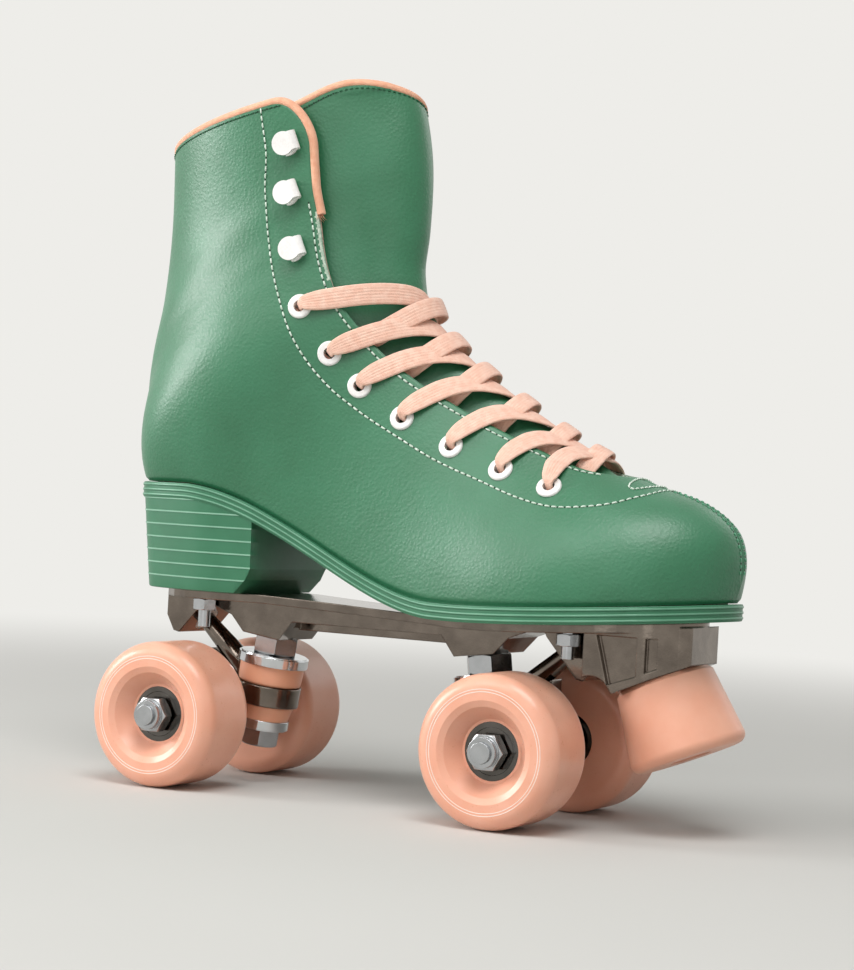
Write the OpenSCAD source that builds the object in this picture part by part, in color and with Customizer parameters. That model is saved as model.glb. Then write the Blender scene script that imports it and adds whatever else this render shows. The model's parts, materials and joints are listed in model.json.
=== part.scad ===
// High-top quad roller skate: a lasted boot on a cast plate with two steering trucks,
// four wheels on ball bearings and a bolted toe stop. Millimetres.
// +X points to the toe, +Y to the skater's left, +Z up. The wheels stand on Z = 0.

/* [Wheels] */
// Tread diameter
wheel_d = 58; // [54:1:62]
// Width over the side faces
wheel_w = 32; // [30:1:34]
// Radius of the rounded tread edges
wheel_edge_r = 6; // [3:0.5:8]
// Diameter of the dished recess in the outer face
hub_recess_d = 36; // [33:0.5:38]
// Depth of the recess in front of the outer bearing
hub_recess = 7.5; // [6:0.5:9]
// Depth of the recess behind the inner bearing
hub_recess_in = 0.5; // [0.4:0.1:1.5]

/* [Bearings] */
// Outer diameter of a bearing
bearing_d = 22; // [21:0.5:23]
// Bore of a bearing
bearing_bore = 8; // [7:0.5:8]
// Width of a bearing
bearing_w = 7; // [6.5:0.25:7]
// Diameter of a bearing ball
ball_d = 3.9; // [3.5:0.1:4]
// Balls in one bearing
ball_count = 7; // [6:1:8]

/* [Trucks] */
// Distance between the two axles
wheelbase = 149; // [142:1:156]
// Distance between the wheel centres on one axle
track = 74.4; // [72:0.2:80]
// Distance of the cushion ring inboard of its axle
ring_inset = 22.4; // [21.5:0.1:24]
// Height of the cushion ring above its axle
ring_rise = 8.5; // [7.5:0.1:9.5]
// Lean of the kingpin towards the middle of the skate, in degrees
kingpin_tilt = 8; // [5:0.5:10]
// Diameter of the kingpin
kingpin_d = 10; // [9:0.5:10]
// Distance of the pivot ball outboard of its axle
pivot_out = 11.5; // [10.5:0.1:12.5]
// Height of the pivot ball above its axle
pivot_rise = 38.2; // [37:0.1:39]
// Radius of the pivot ball
pivot_r = 3.6; // [3.2:0.1:4]
// Diameter of the hanger's cushion ring
ring_d = 27; // [25:0.5:28]
// Thickness of the hanger's cushion ring
ring_h = 8; // [7:0.5:9]
// Diameter of the upper cushion
cushion_d = 27; // [24:0.5:28]
// Height of the upper cushion
cushion_h = 11; // [10:0.5:11.5]
// Height of the lower cushion
lower_cushion_h = 9; // [8:0.5:10]
// Height of the hexagon lock nut on the kingpin
kingpin_nut_h = 7.6; // [7:0.2:8]
// Width of that nut across its flats
kingpin_nut_af = 17; // [15:0.5:18]

/* [Plate] */
// Height of the plate's heel pad above the axles
plate_rise = 49.6; // [49:0.2:52]
// Thickness of the plate's flange
flange_t = 3.4; // [3:0.1:4.5]
// Half width of the flange at the two pads
pad_half = 24; // [23.5:0.5:25.5]
// Half width of the flange at the waist
waist_half = 18; // [16.5:0.5:21]
// Half width over the rails, bosses and pivot lugs
rail_half = 13.5; // [13:0.25:14.5]
// Depth of the rails below the heel pad
rail_depth = 10.5; // [9:0.5:11.5]
// Overhang of the plate behind the rear axle
plate_tail = 20.5; // [19.5:0.5:23]
// Overhang of the plate ahead of the front axle
plate_nose = 64; // [63:0.5:66]
// Drop of the ball pad below the heel pad
ball_dip = 3.5; // [2.5:0.25:4]
// Diameter of the mounting bolts
bolt_d = 5; // [4:0.5:6]
// Distance of a mounting bolt from the centre line
bolt_y = 19; // [19:0.1:19.6]

/* [Toe stop] */
// Diameter where it seats on the plate
stop_top_d = 38; // [35:0.5:40]
// Diameter of the rubbing face
stop_low_d = 45; // [42:0.5:47]
// Length along its own axis
stop_len = 31; // [27:0.5:33]
// Forward lean, in degrees
stop_tilt = 23.6; // [20:0.2:26]
// Distance of the seat's centre ahead of the front axle
stop_out = 48.3; // [47:0.1:50]
// Height of the seat's centre above the axles
stop_rise = 28.9; // [28:0.1:30]

/* [Boot] */
// Length of the upper along the sole, heel to toe
boot_len = 262.5; // [255:0.5:268]
// Height of the tongue above the plate's heel pad
boot_h = 207; // [195:1:220]
// Distance of the heel's back behind the middle of the wheelbase
heel_back = 112; // [110:0.5:114]
// Height of the heel block
heel_h = 36.9; // [33:0.1:39]
// Thickness of the outsole
sole_t = 6.5; // [5.5:0.25:8]
// Lift of the sole at the toe
toe_spring = 6.7; // [4:0.1:8]
// Width of the sole's edge outside the upper
welt = 1.6; // [1:0.1:2.5]
// Thickness of the upper's leather
upper_t = 2.2; // [1.8:0.1:2.6]
// Thickness of the lining
lining_t = 1.2; // [0.8:0.1:1.6]
// Thickness of the padded tongue
tongue_t = 4.5; // [3.5:0.1:5.5]
// Thickness of the insole
insole_t = 4; // [3:0.25:5]
// Radius of the binding bead on the collar and the tongue
bead_r = 1.7; // [1.4:0.1:2]

/* [Lacing] */
// Distance of the eyelets from the facing's edge
eyelet_inset = 14; // [13:0.25:15]
// Distance of the lace hooks from the facing's edge
hook_inset = 8; // [8:0.25:10]
// Inner radius of an eyelet
eyelet_r = 2.35; // [2.3:0.05:2.6]
// Width of the flat lace
lace_w = 8.6; // [7:0.2:9.5]
// Thickness of the flat lace
lace_t = 1.5; // [1.2:0.1:1.6]
// Width of a lace hook
hook_w = 9.5; // [8:0.5:11]

/* [Hidden] */
$fn = 64;

// Colours
leather_green = "#2f7d55";
sole_green = "#2c6f4c";
peach = "#f3b292";
lining_pink = "#d9a793";
white_paint = "#f4f1ee";
cast_metal = "#9c9894";
steel = "#b9bcc0";

// Clearances
fit = 0.02;
running = 0.05;
seat = 0.05;
leather_gap = 0.15;
seam_gap = 0.04;

// Sides and ends of the skate
RIGHT = -1;
LEFT = 1;
FRONT = 1;
REAR = -1;

// Wheels, axles and bearings
axle_z = wheel_d / 2;
axle_r = bearing_bore / 2 - fit;
hub_in = track / 2 - wheel_w / 2 + hub_recess_in;
hub_out = track / 2 + wheel_w / 2 - hub_recess;
spacer_len = hub_out - hub_in - 2 * bearing_w;
ball_pitch_r = (bearing_d + bearing_bore) / 4;
washer_t = 1;
washer_r = bearing_bore / 2 + 2;
housing_half = hub_in - washer_t;
housing_r = bearing_bore / 2 + 4.4;
axle_nut_af = 13;
axle_nut_h = 5.4;
axle_collar_h = 2.4;
axle_end = hub_out + washer_t + axle_nut_h + axle_collar_h + 1.2;

// Kingpin stack, measured upwards along the kingpin from the middle of the ring
retainer_t = 1.6;
retainer_lip = 2.6;
s_upper = ring_h / 2;
s_retainer = s_upper + cushion_h;
// Room round a retainer for the hanger to steer
steer_clear = 1.1;
s_nut = s_retainer + retainer_t;
s_boss = s_nut + kingpin_nut_h;
s_lower = -ring_h / 2 - lower_cushion_h;
s_head = s_lower - retainer_t;
kingpin_head_h = 7;
kingpin_thread = 11;
kingpin_r = kingpin_d / 2;
ring_bore_r = kingpin_r + 2.6;

// Steering axis, from the middle of the ring to the pivot ball
steer_len = norm([pivot_out + ring_inset, pivot_rise - ring_rise]);
steer_lean = atan2(pivot_out + ring_inset, pivot_rise - ring_rise);
cup_r = pivot_r + 2;
cup_mouth = 2.5;
cup_depth = 5.5;
lug_half = cup_r + 1.6;

// Plate levels and lengths
plate_z = axle_z + plate_rise;
flange_z = plate_z - flange_t;
rail_z = plate_z - rail_depth;
keel_z = rail_z - 3.5;
axle_x = wheelbase / 2;
tail_x = -axle_x - plate_tail;
nose_x = axle_x + plate_nose;

// Toe stop
stop_c = [axle_x + stop_out, axle_z + stop_rise];
stop_edge_r = 3.5;
stop_bolt_d = 8;

// Boot stations: lists of points drawn for the nominal boot and scaled to boot_len and boot_h.
// Stations 0 to 12 run along the sole from the toe to the heel, 12 to 17 up the back seam.
drawn_len = 262.5;
drawn_h = 207;
drawn_heel = 36.9;
heel_station = 12;
top_station = 17;
kx = boot_len / drawn_len;
kz = boot_h / drawn_h;
toe_x = boot_len - heel_back;
// Crest: the centre line over the toe, up the instep and up the front of the shaft,
// from the heel's back and from the heel pad
crest_points = [
    [265, 18.4], [264.5, 29.4], [259.5, 38.9], [247, 46.9], [226, 53.2], [201, 63.2],
    [174, 78.5], [151, 93.5], [134.5, 107.5], [126, 120], [123, 131.5], [122.5, 142.5],
    [122.7, 153.5], [122.7, 164.5], [122, 175.5], [120.5, 186], [118, 197], [114.5, 207]
];
// Feather line of the inner side and of the outer side, from the heel's back
inner_points = [
    [262.5, -3.5], [257.5, -19], [245, -32], [226.5, -40], [204, -43], [180, -41], [154, -35.5],
    [126, -30], [96, -27.5], [66, -29], [38, -31], [11, -23.5], [0, 0]
];
outer_points = [
    [262.5, -3.5], [258.5, 12], [247, 27.5], [228.5, 39], [205, 44.5], [180, 45], [154, 42],
    [126, 37], [96, 33], [66, 31], [38, 31], [11, 23.5], [0, 0]
];
// Back seam above the heel seat: behind the heel's back, and above the seat
seam_points = [[0, 0], [-2.5, 19], [-4, 39], [-1.5, 68], [1, 100], [2.5, 136]];
// Shape of each section: reach of the crest sideways, rise and lean at the rim, and the half
// width that the rim's end swings out to round the heel and up the back seam
crest_reach = [0, 9, 18, 25, 28, 26, 24, 24, 27, 31.5, 35, 39.5, 43, 44.5, 45, 45, 45.5, 47];
rim_rise = [4, 10, 16, 20, 24, 27, 32, 38, 42, 38, 43, 54, 75, 73, 59, 37, 16, 4];
rim_lean = [1.2, 2, 2.5, 3, 3, 2, 1, 1.5, 2.5, 6.5, 5, 5, 14, 8, -6, -12, -11, -4];
rim_width = [43, 43, 43, 43, 43, 43, 43, 43, 43, 55, 57.5, 52, 46, 41, 40, 40, 42, 45.5];
swing_from = 8.5;
swing_to = 11.5;
// Half width of the throat along the surface, and how far it sits towards the inner side
throat_station = 4.2;
throat_points = [14, 14, 14, 14, 14, 16.3, 19.4, 21.8, 24.4, 27.4, 31.5, 33.7, 35.5, 37.5, 39.6, 40, 39.3, 38];
throat_shift = 9;
throat_shift_from = 6;
throat_shift_to = 12;
throat_round = 0.75;
collar_round = 1.3;
collar_corner = 12;

// Grid of the upper
upper_rows = 40;
upper_cols = 10;
skin_in = upper_t + lining_t + leather_gap;

// Lacing: stations of the eyelet rows from the top, and of the hooks
eyelet_rows = [10.45, 9.15, 8.3, 7.43, 6.55, 5.7, 4.93];
outer_drop = [0.45, 0.5, 0.5, 0.5, 0.45, 0.35, 0.15];
hook_rows = [16, 14.3, 12.03];
hook_step = 1.5;
eyelet_flange_r = eyelet_r + 2.3;
eyelet_barrel_r = eyelet_r + 0.4;
hook_rivet_r = 1.6;
lace_lift = lace_t / 2 + 0.2;
lace_under = skin_in + lace_t / 2 + 0.3;
tongue_drop = lace_under + lace_t / 2 + 1.4;
tongue_sink = 1.2;
tongue_low = 3.7;
tongue_lift_from = 10.2;
tongue_lift_to = 11.6;

// Extent along X, to centre the skate over the origin
back_x = -heel_back + min([for (p = seam_points) p.x]);
front_x = stop_c.x + (stop_low_d / 2 - stop_edge_r) * cos(stop_tilt)
    + (stop_len - stop_edge_r) * sin(stop_tilt) + stop_edge_r;
mid_x = (back_x + front_x) / 2;

// Curves

// Smooth step from 0 to 1
function smooth(f) = let (c = max(0, min(1, f))) c * c * (3 - 2 * c);

// Catmull-Rom curve through p at parameter s; before and after extend its ends
function curve(p, s, before, after) =
    let (
        last = len(p) - 1,
        i = max(0, min(floor(s), last - 1)),
        f = s - i,
        b = p[i],
        c = p[i + 1],
        a = i > 0 ? p[i - 1] : is_undef(before) ? 2 * b - c : before,
        d = i + 2 <= last ? p[i + 2] : is_undef(after) ? 2 * c - b : after
    )
    0.5 * (2 * b + (c - a) * f + (2 * a - 5 * b + 4 * c - d) * f * f + (3 * b - a - 3 * c + d) * f * f * f);

function unit(v) = v / norm(v);
function mix(a, b, f) = a + (b - a) * f;
function bezier(s, t) =
    let (r = 1 - t)
    r * r * r * s[0] + 3 * r * r * t * s[1] + 3 * r * t * t * s[2] + t * t * t * s[3];

// Sole

// Underside of the outsole at x: heel seat, waist, ball and toe spring
sole_slope_back = -80;
sole_slope_front = 42;
sole_ball = 50;
function sole_under(x) =
    plate_z - ball_dip
    + (heel_h + ball_dip) * (1 - smooth((x - sole_slope_back) / (sole_slope_front - sole_slope_back)))
    + toe_spring * pow(max(0, (x - sole_ball) / (toe_x - sole_ball)), 1.4);
function sole_top(x) = sole_under(x) + sole_t;

// Feather line in plan, at station u of one side
function feather(u, side) =
    let (
        mine = side == RIGHT ? inner_points : outer_points,
        other = side == RIGHT ? outer_points : inner_points,
        p = curve(mine, u, other[1], other[heel_station - 1])
    )
    [p.x * kx - heel_back, p.y];

// Feather line's outward direction in plan
function outward(u, side) =
    let (
        d = unit(feather(min(u + 0.02, heel_station), side) - feather(max(u - 0.02, 0), side))
    )
    side == RIGHT ? [-d.y, d.x] : [d.y, -d.x];

// Plan outline of the boot, moved out by a distance
outline_step = 0.25;
function outline(out) = concat(
    [for (u = [0 : outline_step : heel_station]) feather(u, RIGHT) + out * outward(u, RIGHT)],
    [for (u = [heel_station - outline_step : -outline_step : outline_step])
        feather(u, LEFT) + out * outward(u, LEFT)]
);

// Upper's surface

function crest(u) =
    let (
        p = curve(crest_points, u),
        x = p.x * kx - heel_back,
        swing = inner_points[0].y * smooth((x - sole_ball) / (toe_x - sole_ball))
    )
    [x, swing, plate_z + p.y * kz];

// Station of the rim, slowed to a stop where it turns from the sole up the back seam
turn_span = 2;
function rim_station(u) =
    let (f = (u - heel_station) / turn_span)
    u < heel_station - turn_span || u > heel_station + turn_span ? u
    : u < heel_station ? heel_station - turn_span * (2 * f * f + f * f * f)
    : heel_station + turn_span * (2 * f * f - f * f * f);

function rim(r, side) =
    r <= heel_station
    ? let (p = feather(r, side)) [p.x, p.y, sole_top(p.x) + seat]
    : let (p = curve(seam_points, r - heel_station))
        [p.x - heel_back, 0, sole_top(-heel_back) + seat + p.y * (boot_h - heel_h) / (drawn_h - drawn_heel)];

// Control points of one section, from the crest to the rim
function section(u, side) =
    let (
        top = crest(u),
        r = rim_station(u),
        low = rim(r, side),
        n = outward(min(r, heel_station), side),
        lean = curve(rim_lean, u),
        swing = smooth((u - swing_from) / (swing_to - swing_from)),
        wide = mix(low.y + n.y * lean, side * curve(rim_width, u), swing)
    )
    [
        top,
        top + [0, side * curve(crest_reach, u), 0],
        [low.x + n.x * lean, wide, low.z + curve(rim_rise, u)],
        low
    ];

function surface_at(u, t, side) = bezier(section(u, side), t) + [0, side * seam_gap, 0];

// Outward normal, flattened into the seam plane on the seams
function normal_at(u, t, side) =
    let (
        e = 0.02,
        uc = max(e, min(top_station - e, u)),
        tc = max(e, min(1 - e, t)),
        du = surface_at(uc + e, tc, side) - surface_at(uc - e, tc, side),
        dt = surface_at(uc, tc + e, side) - surface_at(uc, tc - e, side),
        n = -side * cross(du, dt),
        on_seam = u <= 0 || t <= 0 || (t >= 1 && u >= heel_station)
    )
    unit(on_seam ? [n.x, 0, n.z] : n);

// Point at an offset from the surface, inwards when negative
function skin(u, t, side, off) = surface_at(u, t, side) + off * normal_at(u, t, side);

// Parameter t of the point at chord distance d from the crest, by halving
function t_at(u, side, d, lo = 0, hi = 0.8, steps = 14) =
    steps == 0 ? (lo + hi) / 2
    : let (
        s = section(u, side),
        m = (lo + hi) / 2
    )
    norm(bezier(s, m) - s[0]) < d ? t_at(u, side, d, m, hi, steps - 1) : t_at(u, side, d, lo, m, steps - 1);

// Half width of the throat at station u of one side, with a rounded lower end and top corner
function throat(u, side) =
    let (
        end = throat_station,
        f = max(0, min(1, (u - end) / throat_round)),
        mouth = sqrt(1 - (1 - f) * (1 - f)),
        shift = -side * throat_shift * smooth((u - throat_shift_from) / (throat_shift_to - throat_shift_from)),
        c = max(0, (u - top_station + collar_round) / collar_round),
        corner = collar_corner * (1 - sqrt(max(0, 1 - c * c)))
    )
    u <= end ? 0 : mouth * (curve(throat_points, u) + shift) + corner;

function edge_t(u, side) = u <= throat_station ? 0 : t_at(u, side, throat(u, side));

// Direction on the surface across a section, upwards along the boot on both sides
function up_along(u, t, side) =
    -side * unit(cross(surface_at(u, t + 0.01, side) - surface_at(u, t - 0.01, side), normal_at(u, t, side)));

// Distances along the skin are measured from the throat's centre line
function skin_by(u, d, side, off) = skin(u, t_at(u, side, d), side, off);

// Solids from grids of points

// Faces of a closed shell between an outer and an inner grid of rows by cols points
function shell_faces(rows, cols, flip) =
    let (
        half = rows * cols,
        o = function (i, j) i * cols + j,
        n = function (i, j) half + i * cols + j,
        quads = concat(
            [for (i = [0 : rows - 2], j = [0 : cols - 2]) [o(i, j), o(i, j + 1), o(i + 1, j + 1), o(i + 1, j)]],
            [for (i = [0 : rows - 2], j = [0 : cols - 2]) [n(i, j), n(i + 1, j), n(i + 1, j + 1), n(i, j + 1)]],
            [for (i = [0 : rows - 2]) [o(i, 0), o(i + 1, 0), n(i + 1, 0), n(i, 0)]],
            [for (i = [0 : rows - 2]) [o(i + 1, cols - 1), o(i, cols - 1), n(i, cols - 1), n(i + 1, cols - 1)]],
            [for (j = [0 : cols - 2]) [o(0, j + 1), o(0, j), n(0, j), n(0, j + 1)]],
            [for (j = [0 : cols - 2]) [o(rows - 1, j), o(rows - 1, j + 1), n(rows - 1, j + 1), n(rows - 1, j)]]
        )
    )
    [for (q = quads, k = [0, 1])
        let (tri = k == 0 ? [q[0], q[1], q[2]] : [q[0], q[2], q[3]])
        flip ? [tri[2], tri[1], tri[0]] : tri];

module shell(outer, inner, flip) {
    rows = len(outer);
    cols = len(outer[0]);
    points = concat([for (r = outer, p = r) p], [for (r = inner, p = r) p]);
    polyhedron(points, shell_faces(rows, cols, flip));
}

// Closed tube through rings of equal size
module tube(rings) {
    n = len(rings[0]);
    last = len(rings) - 1;
    points = [for (r = rings, p = r) p];
    sides = [for (i = [0 : last - 1], j = [0 : n - 1])
        let (k = (j + 1) % n, a = i * n, b = a + n)
        each [[a + j, a + k, b + k], [a + j, b + k, b + j]]];
    caps = [for (j = [1 : n - 2]) each [[0, j + 1, j], [last * n, last * n + j, last * n + j + 1]]];
    polyhedron(points, concat(sides, caps));
}

// Placing

module finish(c) {
    color(c) translate([-mid_x, 0, 0]) children();
}

// Frame of the front or the rear truck, with X outboard and the axle at the origin
module at_truck(end) {
    translate([end * axle_x, 0, axle_z]) rotate([0, 0, end == FRONT ? 0 : 180]) children();
}

// Frame of the kingpin, with Z upwards along it from the middle of the ring
module at_ring(end) {
    at_truck(end) translate([-ring_inset, 0, ring_rise]) rotate([0, -kingpin_tilt, 0]) children();
}

// Frame of the pivot ball, with Z along the steering axis away from the ring
module at_pivot(end) {
    at_truck(end) translate([pivot_out, 0, pivot_rise]) rotate([0, steer_lean, 0]) children();
}

// Frame on the boot's skin, with Z outwards and X along the facing's edge
module at_skin(u, d, side, off) {
    t = t_at(u, side, d);
    n = normal_at(u, t, side);
    x = -side * up_along(u, t, side);
    y = cross(n, x);
    p = skin(u, t, side, off);
    multmatrix([[x.x, y.x, n.x, p.x], [x.y, y.y, n.y, p.y], [x.z, y.z, n.z, p.z], [0, 0, 0, 1]]) children();
}

// Station of an eyelet; the rows of the outer side sit lower on the instep
function eyelet_row(r, side) = eyelet_rows[r] - (side == LEFT ? outer_drop[r] : 0);
module at_eyelet(r, side) {
    u = eyelet_row(r, side);
    at_skin(u, throat(u, side) + eyelet_inset, side, 0) children();
}

// Rivet of a hook, each row further from the throat's edge than the one above it
module at_hook(row, side) {
    u = hook_rows[row];
    at_skin(u, throat(u, side) + hook_inset + hook_step * row, side, 0) children();
}

// Across the skate: profiles drawn in X and Z, pushed out to a half width
module across(half) {
    rotate([90, 0, 0]) linear_extrude(2 * half, center = true) children();
}

function mirrored(p) = [for (i = [len(p) - 1 : -1 : 0]) [-p[i].x, p[i].y]];

// Boot

module half_shell(side, from, to) {
    rows = [for (i = [0 : upper_rows]) top_station * i / upper_rows];
    grid = function (off)
        [for (u = rows)
            let (t0 = edge_t(u, side))
            [for (j = [0 : upper_cols]) skin(u, mix(t0, 1, j / upper_cols), side, off)]];
    shell(grid(-from), grid(-to), side == RIGHT);
}

module eyelet_holes(side) {
    for (r = [0 : len(eyelet_rows) - 1]) {
        at_eyelet(r, side) cylinder(r = eyelet_barrel_r + fit, h = 12, center = true);
    }
    for (i = [0 : len(hook_rows) - 1]) {
        at_hook(i, side) cylinder(r = hook_rivet_r + fit, h = 12, center = true);
    }
}

module upper(side) {
    difference() {
        half_shell(side, 0, upper_t);
        eyelet_holes(side);
    }
}

module upper_right() {
    finish(leather_green) upper(RIGHT);
}

module upper_left() {
    finish(leather_green) upper(LEFT);
}

// Lining: one thin skin inside each half of the upper
module lining() {
    finish(lining_pink)
        for (side = [RIGHT, LEFT]) {
            difference() {
                half_shell(side, upper_t + leather_gap, skin_in);
                eyelet_holes(side);
            }
        }
}

// Tongue: under the facings where it is laced, standing proud of them above
tongue_rows = 30;
tongue_cols = 12;
tongue_top = top_station + 0.2;
tongue_peak = -0.54;
tongue_inner_fall = 0.35;
tongue_outer_fall = 1.8;
tongue_low_half = 19;
tongue_high_half = 56;
tongue_widen = 7;
function tongue_half(u) = mix(tongue_low_half, tongue_high_half, smooth((u - tongue_low) / tongue_widen));
// Top of the tongue: highest towards the inner side, with a long fall to the outer one
function tongue_end(w) =
    tongue_top - (w < tongue_peak
        ? tongue_inner_fall * smooth((tongue_peak - w) / (1 + tongue_peak))
        : tongue_outer_fall * smooth((w - tongue_peak) / 1.3));
function tongue_off(u, d) =
    let (
        lift = smooth((u - tongue_lift_from) / (tongue_lift_to - tongue_lift_from)),
        sink = mix(skin_in + seat, tongue_sink * (1 - lift), smooth(u - throat_station))
    )
    -mix(sink, tongue_drop, smooth(d / max(9, throat(u, LEFT))));
function tongue_point(u, w, extra) =
    let (side = w < 0 ? RIGHT : LEFT, d = max(0.001, abs(w) * tongue_half(u)))
    skin_by(u, d, side, tongue_off(u, d) - extra);
function tongue_grid(extra) =
    [for (i = [0 : tongue_rows])
        [for (j = [0 : tongue_cols])
            let (w = 2 * j / tongue_cols - 1)
            tongue_point(mix(tongue_low, tongue_end(w), i / tongue_rows), w, extra)]];

module tongue() {
    finish(leather_green) shell(tongue_grid(0), tongue_grid(tongue_t), false);
}

// Bead of binding along a path of points with the surface's normal at each
function bead_rings(path, r, sides) =
    let (last = len(path) - 1)
    [for (i = [0 : last])
        let (
            dir = unit(path[min(i + 1, last)][0] - path[max(i - 1, 0)][0]),
            away = unit(cross(dir, path[i][1])),
            n = cross(away, dir),
            c = path[i][0] + away * (r + leather_gap)
        )
        [for (k = [0 : sides - 1]) c + r * (cos(360 * k / sides) * away + sin(360 * k / sides) * n)]];

function edge_spot(u, t, side, depth) = [skin(u, t, side, -depth), normal_at(u, t, side)];

// Binding over the top edge of the tongue
module tongue_binding() {
    steps = 22;
    depth = tongue_t / 2;
    path = [for (j = [-steps : steps]) tongue_point(tongue_end(j / steps), j / steps, depth)];
    rings = [for (i = [0 : len(path) - 1])
        let (
            last = len(path) - 1,
            dir = unit(path[min(i + 1, last)] - path[max(i - 1, 0)]),
            up = unit([0, 0, 1] - dir * dir.z),
            out = cross(up, dir),
            c = path[i] + up * (bead_r + leather_gap)
        )
        [for (k = [0 : 7]) c + up * bead_r * cos(45 * k) + out * depth * sin(45 * k)]];
    finish(peach) tube(rings);
}

// Binding round the collar and down the top of each facing
binding_low = 13;
module collar_binding() {
    depth = skin_in / 2;
    facing = function (side) [for (i = [0 : 16])
        let (u = mix(binding_low, top_station, i / 16)) edge_spot(u, edge_t(u, side), side, depth)];
    collar = function (side) [for (i = [1 : 14])
        edge_spot(top_station, mix(edge_t(top_station, side), 1, i / 14), side, depth)];
    back = function (list) [for (i = [len(list) - 1 : -1 : 0]) list[i]];
    left_collar = collar(LEFT);
    path = concat(facing(RIGHT), collar(RIGHT),
        back([for (i = [0 : len(left_collar) - 2]) left_collar[i]]), back(facing(LEFT)));
    finish(peach) tube(bead_rings(path, bead_r, 8));
}

// Band between two heights above the sole's underside, drawn in X and Z
module sole_band(low, high) {
    from = -heel_back - 12;
    to = toe_x + 12;
    steps = 64;
    xs = [for (i = [0 : steps]) mix(from, to, i / steps)];
    polygon(concat(
        [for (x = xs) [x, sole_under(x) + low]],
        [for (i = [steps : -1 : 0]) [xs[i], sole_under(xs[i]) + high]]
    ));
}

module sole_slab(out, low, high) {
    intersection() {
        linear_extrude(plate_z + heel_h + 40) polygon(outline(out));
        across(80) sole_band(low, high);
    }
}

// Outsole: a slab with three raised lines round its edge
sole_line = 0.35;
module outsole() {
    finish(sole_green)
        difference() {
            union() {
                sole_slab(welt - sole_line, 0, sole_t);
                for (f = [0.12, 0.44, 0.76]) {
                    sole_slab(welt, sole_t * f, sole_t * (f + 0.14));
                }
            }
            bolt_spots() bolt_way(bolt_d / 2 + running);
            for (spot = bolt_list) {
                translate([spot.x, spot.y, bolt_head_z(spot.x)])
                    cylinder(r = bolt_head_r + running, h = 2 * sole_t);
            }
        }
}

insole_in = skin_in + 0.8;
module insole() {
    finish(lining_pink) sole_slab(-insole_in, sole_t + seat, sole_t + insole_t);
}

// Heel block: lofted from the sole's heel down to a smaller foot, with grooves round it
heel_from = 9;
heel_front = inner_points[heel_from].x;
heel_foot_len = 0.92;
heel_foot_width = 0.95;
heel_edge = welt - 0.4;
heel_grooves = 6;
heel_groove = 0.5;
heel_chamfer = 8;
heel_half = 30;
function heel_ring(f, inset) =
    let (
        front = heel_front * kx - heel_back,
        edge = function (u, side) feather(u, side) + heel_edge * outward(u, side),
        outer = [for (u = [heel_station : -outline_step : heel_from]) edge(u, LEFT)],
        inner = [for (u = [heel_from : outline_step : heel_station - outline_step]) edge(u, RIGHT)],
        sx = mix(heel_foot_len, 1, f),
        sy = mix(heel_foot_width, 1, f)
    )
    [for (p = concat(outer, inner))
        let (q = [front + (p.x - front) * sx, p.y * sy], c = [(front - heel_back) / 2, 0])
        [mix(q.x, c.x, inset / heel_half), mix(q.y, c.y, inset / heel_half), plate_z + f * (heel_h + sole_t)]];
module heel_block() {
    pitch = heel_h / (heel_grooves + 1);
    half = 0.55 / (heel_h + sole_t);
    levels = concat([[0, 0]],
        [for (g = [1 : heel_grooves], k = [-1 : 1])
            [g * pitch / (heel_h + sole_t) + k * half, k == 0 ? heel_groove : 0]],
        [[1, 0]]);
    front = heel_front * kx - heel_back;
    finish(sole_green)
        difference() {
            tube([for (l = levels) heel_ring(l[0], l[1])]);
            across(80) sole_band(0, 60);
            across(80) polygon([
                [front - heel_chamfer, plate_z - 1], [front + 1, plate_z - 1],
                [front + 1, plate_z + heel_chamfer + 1]
            ]);
            bolt_spots() bolt_way(bolt_d / 2 + running);
        }
}

// Eyelet: a flanged barrel with a rolled face, clinched behind the lining
module eyelet() {
    face = 1;
    back = skin_in + 0.45;
    rotate_extrude()
        union() {
            translate([eyelet_r, -back]) square([0.4, back + face]);
            translate([eyelet_r + 0.4, 0.1]) square([1.4, face - 0.1]);
            intersection() {
                translate([eyelet_flange_r - 0.6, 0.1]) circle(r = face - 0.1);
                translate([eyelet_r, 0.1]) square(3);
            }
            translate([eyelet_r, -back - 0.5]) square([1.3, 0.5]);
        }
}

module eyelets(side) {
    finish(white_paint)
        for (r = [0 : len(eyelet_rows) - 1]) {
            at_eyelet(r, side) eyelet();
        }
}

module eyelets_right() {
    eyelets(RIGHT);
}

module eyelets_left() {
    eyelets(LEFT);
}

// Lace hook: a strip bent over at the throat's side, open away from it, on a rivet
module hook() {
    leaf = 1.1;
    gap = 2.6;
    bend = gap / 2 + leaf;
    neck = hook_w * 0.8;
    foot = 3;
    cap_end = hook_w - foot - 1.6;
    module strip() {
        difference() {
            circle(r = bend);
            circle(r = gap / 2);
            translate([0, -bend]) square([bend, 2 * bend]);
        }
        translate([-0.01, gap / 2]) square([foot + cap_end, leaf]);
        translate([-0.01, -bend]) square([foot + 2, leaf]);
    }
    intersection() {
        translate([0, -foot, bend + seat]) rotate([90, 0, 90]) linear_extrude(hook_w, center = true) strip();
        union() {
            translate([0, cap_end - hook_w / 2, -1]) cylinder(d = hook_w, h = 12);
            translate([-neck / 2, -hook_w, -1]) cube([neck, hook_w + 1.5, 12]);
        }
    }
    translate([0, 0, -skin_in - 1]) cylinder(r = hook_rivet_r, h = skin_in + 1.5);
}

module hooks(side) {
    finish(white_paint)
        for (i = [0 : len(hook_rows) - 1]) {
            at_hook(i, side) hook();
        }
}

module hooks_right() {
    hooks(RIGHT);
}

module hooks_left() {
    hooks(LEFT);
}

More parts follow.
